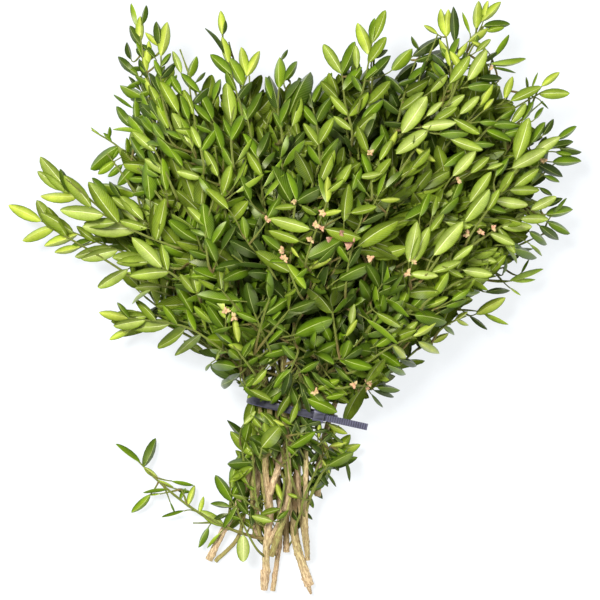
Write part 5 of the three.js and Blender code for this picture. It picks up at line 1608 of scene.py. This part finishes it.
# %% Tie sizes
STRAP_WIDTH, STRAP_THICK, STRAP_SIDES, STRAP_POWER, STRAP_STEP = 4.6, 1.3, 20, 7.0, 0.36
LOOP_HALF_WIDTH, LOOP_HALF_HEIGHT, LOOP_SQUARENESS, LOOP_SETTLE = 28.4, 15.4, 2.6, 0.5
TIE_TURN = np.radians(-12.8)
HEAD_AT, HEAD_LENGTH, HEAD_WIDTH, HEAD_WALL, HEAD_SIDES, HEAD_POWER = 16.5, 7, 7.8, 1.4, 24, 6.0
SLOT_WIDTH, SLOT_HEIGHT = 5.4, 1.9
STRAP_RISE, TAIL_LENGTH, TAIL_DROP = 2.7, 26, 3
TOOTH_PITCH, TOOTH_DEPTH, TAIL_NARROWING = 1.45, 0.4, 0.88

half_wide = LOOP_HALF_WIDTH - STRAP_THICK / 2
half_high = LOOP_HALF_HEIGHT - STRAP_THICK / 2
loop_middle = LOOP_HALF_HEIGHT - LOOP_SETTLE
root_z = loop_middle + half_high * (1 - (HEAD_AT / half_wide) ** LOOP_SQUARENESS) ** (1 / LOOP_SQUARENESS)
slot_z = root_z + STRAP_RISE


def loop_line():
    """Middle line of the strap, seen from its side: a rounded oval from the head down the right side, under the
    stems and up the left side, then over them, through the head and out as the tail."""
    degrees = np.arange(40, -273, -4.0)
    c, s = np.cos(np.radians(degrees)), np.sin(np.radians(degrees))
    x = half_wide * squared_off(c, LOOP_SQUARENESS)
    z = np.maximum(loop_middle + half_high * squared_off(s, LOOP_SQUARENESS), STRAP_THICK / 2)
    share = np.clip((-degrees - 180) / 82, 0, 1)
    z = z + STRAP_RISE * share * share * (3 - 2 * share)
    enter, leave = HEAD_AT - HEAD_LENGTH / 2 - 1, HEAD_AT + HEAD_LENGTH / 2 + 1
    x = np.concatenate([[HEAD_AT], x, [enter, leave, leave + TAIL_LENGTH]])
    z = np.concatenate([[root_z], z, [slot_z, slot_z, slot_z - TAIL_DROP]])
    return np.stack([x, 0 * x, z], -1), leave


def turned(points):
    """Points turned about Z by the angle at which the tie lies."""
    c, s = np.cos(TIE_TURN), np.sin(TIE_TURN)
    return points @ np.array([[c, s, 0], [-s, c, 0], [0, 0, 1]])


# %% Strap
def resampled(line, step):
    """The same line with points a step apart."""
    along = distance_along(line)
    at = np.linspace(0, along[-1], int(along[-1] / step))
    return np.stack([np.interp(at, along, line[:, k]) for k in range(3)], -1), at


def strap_section():
    """A rectangle with rounded corners: an oval of high power, width by thickness."""
    turn = round_turns(STRAP_SIDES)
    wide, high = squared_off(np.cos(turn), STRAP_POWER), squared_off(np.sin(turn), STRAP_POWER)
    return np.stack([wide * STRAP_WIDTH / 2, high * STRAP_THICK / 2], -1)


strap_line, leave = loop_line()
line, along = resampled(strap_line, STRAP_STEP)
smooth = np.array([1, 2, 3, 2, 1]) / 9
for k in (0, 2):
    padded = np.pad(line[:, k], 2, mode="edge")
    line[:, k] = np.convolve(padded, smooth, mode="valid")
ahead = unit(np.gradient(line, axis=0))
outward = np.stack([-ahead[:, 2], 0 * ahead[:, 0], ahead[:, 0]], -1)
section = strap_section()
on_tail = (line[:, 0] > leave) & (along > along[-1] / 2)
tooth = (along / TOOTH_PITCH) % 1
drop = np.where(on_tail, TOOTH_DEPTH * np.clip(1 - np.abs(tooth - 0.35) / 0.3, 0, 1), 0)
top_side = (section[:, 1] > 0.3 * STRAP_THICK) & (np.abs(section[:, 0]) < 0.42 * STRAP_WIDTH)
height = section[None, :, 1] - drop[:, None] * top_side[None]
narrowed = np.where(on_tail, TAIL_NARROWING, 1.0)[:, None, None]
corners = line[:, None] + np.array([0, 1, 0]) * section[None, :, :1] * narrowed
corners = corners + outward[:, None] * height[..., None]
rows, sides = height.shape
places = np.stack(np.broadcast_arrays(section[None, :, 0], along[:, None]), -1).reshape(-1, 2)
heap = Heap()
# the tints carry each point's depth in a tooth's groove and whether it lies on the tail; from them the plastic paints
# shade in the grooves and a highlight on the crests
ribbed = np.repeat(np.stack([drop / TOOTH_DEPTH, on_tail * 1.0], -1), sides, axis=0)
heap.add(turned(corners.reshape(-1, 3)), band(rows, sides), 0, places, ribbed)
heap.faces += [list(range(sides))[::-1], list(range((rows - 1) * sides, rows * sides))]
heap.finishes.append(np.zeros(2, int))

# %% Plastic
PLASTIC, plastic_tree, plastic_shader = fresh("tie_plastic")
plastic_across, _ = place_on(plastic_tree)
# painted highlight in lengthwise streaks: a stretched noise mixes in a lighter violet grey; the same noise makes the
# roughness uneven
painted_streaks_and_roughness = ramp(plastic_tree, speckle(plastic_tree, 500.0, 4.0, (0.15, 1, 1)), 0.35, 0.7)
plastic_colour = blend(plastic_tree, painted_streaks_and_roughness, rgb(34, 34, 44), rgb(62, 61, 78))
# painted highlight: the strap is made lighter and more violet towards both edges
painted_edge_highlight = ramp(plastic_tree, maths(plastic_tree, "ABSOLUTE", plastic_across), 1.5, 2.2, 0.0, 0.45)
plastic_colour = blend(plastic_tree, painted_edge_highlight, plastic_colour, rgb(108, 106, 134))
# painted shade in the grooves between the tail's teeth and a painted highlight on their crests
groove_shade = maths(plastic_tree, "MULTIPLY", tint(plastic_tree, "tone"), tint(plastic_tree, "young"))
crest_highlight = maths(plastic_tree, "MULTIPLY", maths(plastic_tree, "SUBTRACT", 1.0, groove_shade), tint(plastic_tree, "young"))
plastic_colour = blend(plastic_tree, maths(plastic_tree, "MULTIPLY", crest_highlight, 0.45), plastic_colour, rgb(116, 114, 142))
plastic_colour = blend(plastic_tree, maths(plastic_tree, "MULTIPLY", groove_shade, 0.8), plastic_colour, rgb(28, 28, 40))
put(plastic_tree, plastic_colour, plastic_shader.inputs["Base Color"])
put(plastic_tree, ramp(plastic_tree, painted_streaks_and_roughness, 0.0, 1.0, 0.3, 0.48), plastic_shader.inputs["Roughness"])
piece_from(heap, "tie_strap", [PLASTIC], "tie_plastic", "cable_tie")

# %% Head
head_low, head_high = root_z - STRAP_THICK / 2, slot_z + SLOT_HEIGHT / 2 + HEAD_WALL


def ring_points(half_y, low_z, high_z, round_off):
    """A rounded rectangle across the strap, as a ring of points (y, z)."""
    turn = round_turns(HEAD_SIDES)
    y = squared_off(np.cos(turn), HEAD_POWER) * (half_y - round_off)
    z = squared_off(np.sin(turn), HEAD_POWER) * ((high_z - low_z) / 2 - round_off)
    z = (low_z + high_z) / 2 + z
    return np.stack([y, z], -1)


# place along the head, how much the ring is rounded off, whether it is the slot's
steps = [
    (-0.5, 0.5, False), (-0.45, 0.15, False), (-0.38, 0, False), (0.38, 0, False), (0.45, 0.15, False),
    (0.5, 0.5, False), (0.5, -0.3, True), (0.42, 0, True), (-0.42, 0, True), (-0.5, -0.3, True),
]
rings_made = []
for share, round_off, hollow in steps:
    if hollow:
        flat_ring = ring_points(SLOT_WIDTH / 2, slot_z - SLOT_HEIGHT / 2, slot_z + SLOT_HEIGHT / 2, round_off)
    else:
        flat_ring = ring_points(HEAD_WIDTH / 2, head_low, head_high, round_off)
    x = np.full(len(flat_ring), HEAD_AT + share * HEAD_LENGTH)
    rings_made.append(np.column_stack([x, flat_ring]))
corners = np.concatenate(rings_made)
rows, sides = len(steps), len(rings_made[0])
k, i = np.meshgrid(np.arange(rows), np.arange(sides), indexing="ij")
j, n = (i + 1) % sides, (k + 1) % rows
quads = np.stack([k * sides + i, n * sides + i, n * sides + j, k * sides + j], -1).reshape(-1, 4)
heap = Heap()
heap.add(turned(corners), quads, 0, corners[:, 1:], (0.5, 0))
piece_from(heap, "tie_head", [PLASTIC], "tie_plastic")
print("tie dressed")

# %% [markdown]
# ## Floor, light, and the colours of the picture
# A large surface that shows very pale and faintly blue: it is grey in itself and glows with painted light everywhere
# but under the heart of the bunch, so the bunch's shadow on it is only a breath. The light is soft and comes from
# above and a little from the upper left, so leaves have broad, weak highlights.

# %% Floor
FLOOR_HALF, FLOOR_DOWN = 3.0, 0.0004
# painted light: the floor glows, not at all under the heart of the bunch and fully a little way out from it, which
# lightens the gaps near the rim and hides most of the bunch's shadow
FLOOR_GLOW, GLOW_FROM, GLOW_FULL = 0.77, 0.75, 1.05
GLOW_REACH, GLOW_MIDDLE = (0.1, 0.08), (0.05, 1.27, 0.0)
floor_mesh = bpy.data.meshes.new("floor")
floor_corners = [(x * FLOOR_HALF, y * FLOOR_HALF, -FLOOR_DOWN) for x, y in ((-1, -1), (1, -1), (1, 1), (-1, 1))]
floor_mesh.from_pydata(floor_corners, [], [(0, 1, 2, 3)])
floor = new_object("floor", floor_mesh)
FLOOR_PAINT, floor_tree, floor_shader = fresh("floor_paper_glowing")
glow_distance = floor_tree.nodes.new("ShaderNodeVectorMath")
glow_distance.operation = "DISTANCE"
shrink = floor_tree.nodes.new("ShaderNodeMapping")
put(floor_tree, floor_tree.nodes.new("ShaderNodeTexCoord").outputs["Object"], shrink.inputs["Vector"])
settings(shrink, Scale=(1 / GLOW_REACH[0], 1 / GLOW_REACH[1], 1))
put(floor_tree, shrink.outputs[0], glow_distance.inputs[0])
glow_distance.inputs[1].default_value = GLOW_MIDDLE
glow = ramp(floor_tree, glow_distance.outputs["Value"], GLOW_FROM, GLOW_FULL, 0.0, FLOOR_GLOW)
settings(floor_shader, Base_Color=rgb(132, 134, 136), Emission_Color=rgb(250, 253, 255))
settings(floor_shader, Roughness=0.9, Specular_IOR_Level=0.1)
put(floor_tree, glow, floor_shader.inputs["Emission Strength"])
floor_mesh.materials.append(FLOOR_PAINT)


# %% Lights
LIGHTS_AIM = (0.0, 0.08, 0.03)
SKY, SKY_POWER = (0.95, 0.97, 1.0, 1), 0.3


def soft_light(name, place, size, power, colour):
    """A square soft box at a place, looking at the bunch."""
    lamp = bpy.data.lights.new(name, "AREA")
    lamp.shape = "SQUARE"
    lamp.size = size
    lamp.energy = power
    lamp.color = colour
    holder = new_object(name, lamp)
    away = np.array(place) - np.array(LIGHTS_AIM)
    turn = np.arctan2(away[1], away[0]) + np.pi / 2
    lean = np.arctan2(np.hypot(away[0], away[1]), away[2])
    holder.location = place
    holder.rotation_euler = (lean, 0, turn)


soft_light("key", (-0.62, 0.62, 1.6), 0.6, 41, (1.0, 1.0, 1.0))
soft_light("fill", (1.0, -0.6, 1.3), 1.2, 15, (0.97, 0.98, 1.0))
world = bpy.data.worlds.new("studio")
bpy.context.scene.world = world
world.use_nodes = True
settings(world.node_tree.nodes["Background"], Color=SKY, Strength=SKY_POWER)

scene = bpy.context.scene
scene.view_settings.view_transform = "Standard"
scene.view_settings.look = "None"
scene.view_settings.exposure = 0.0
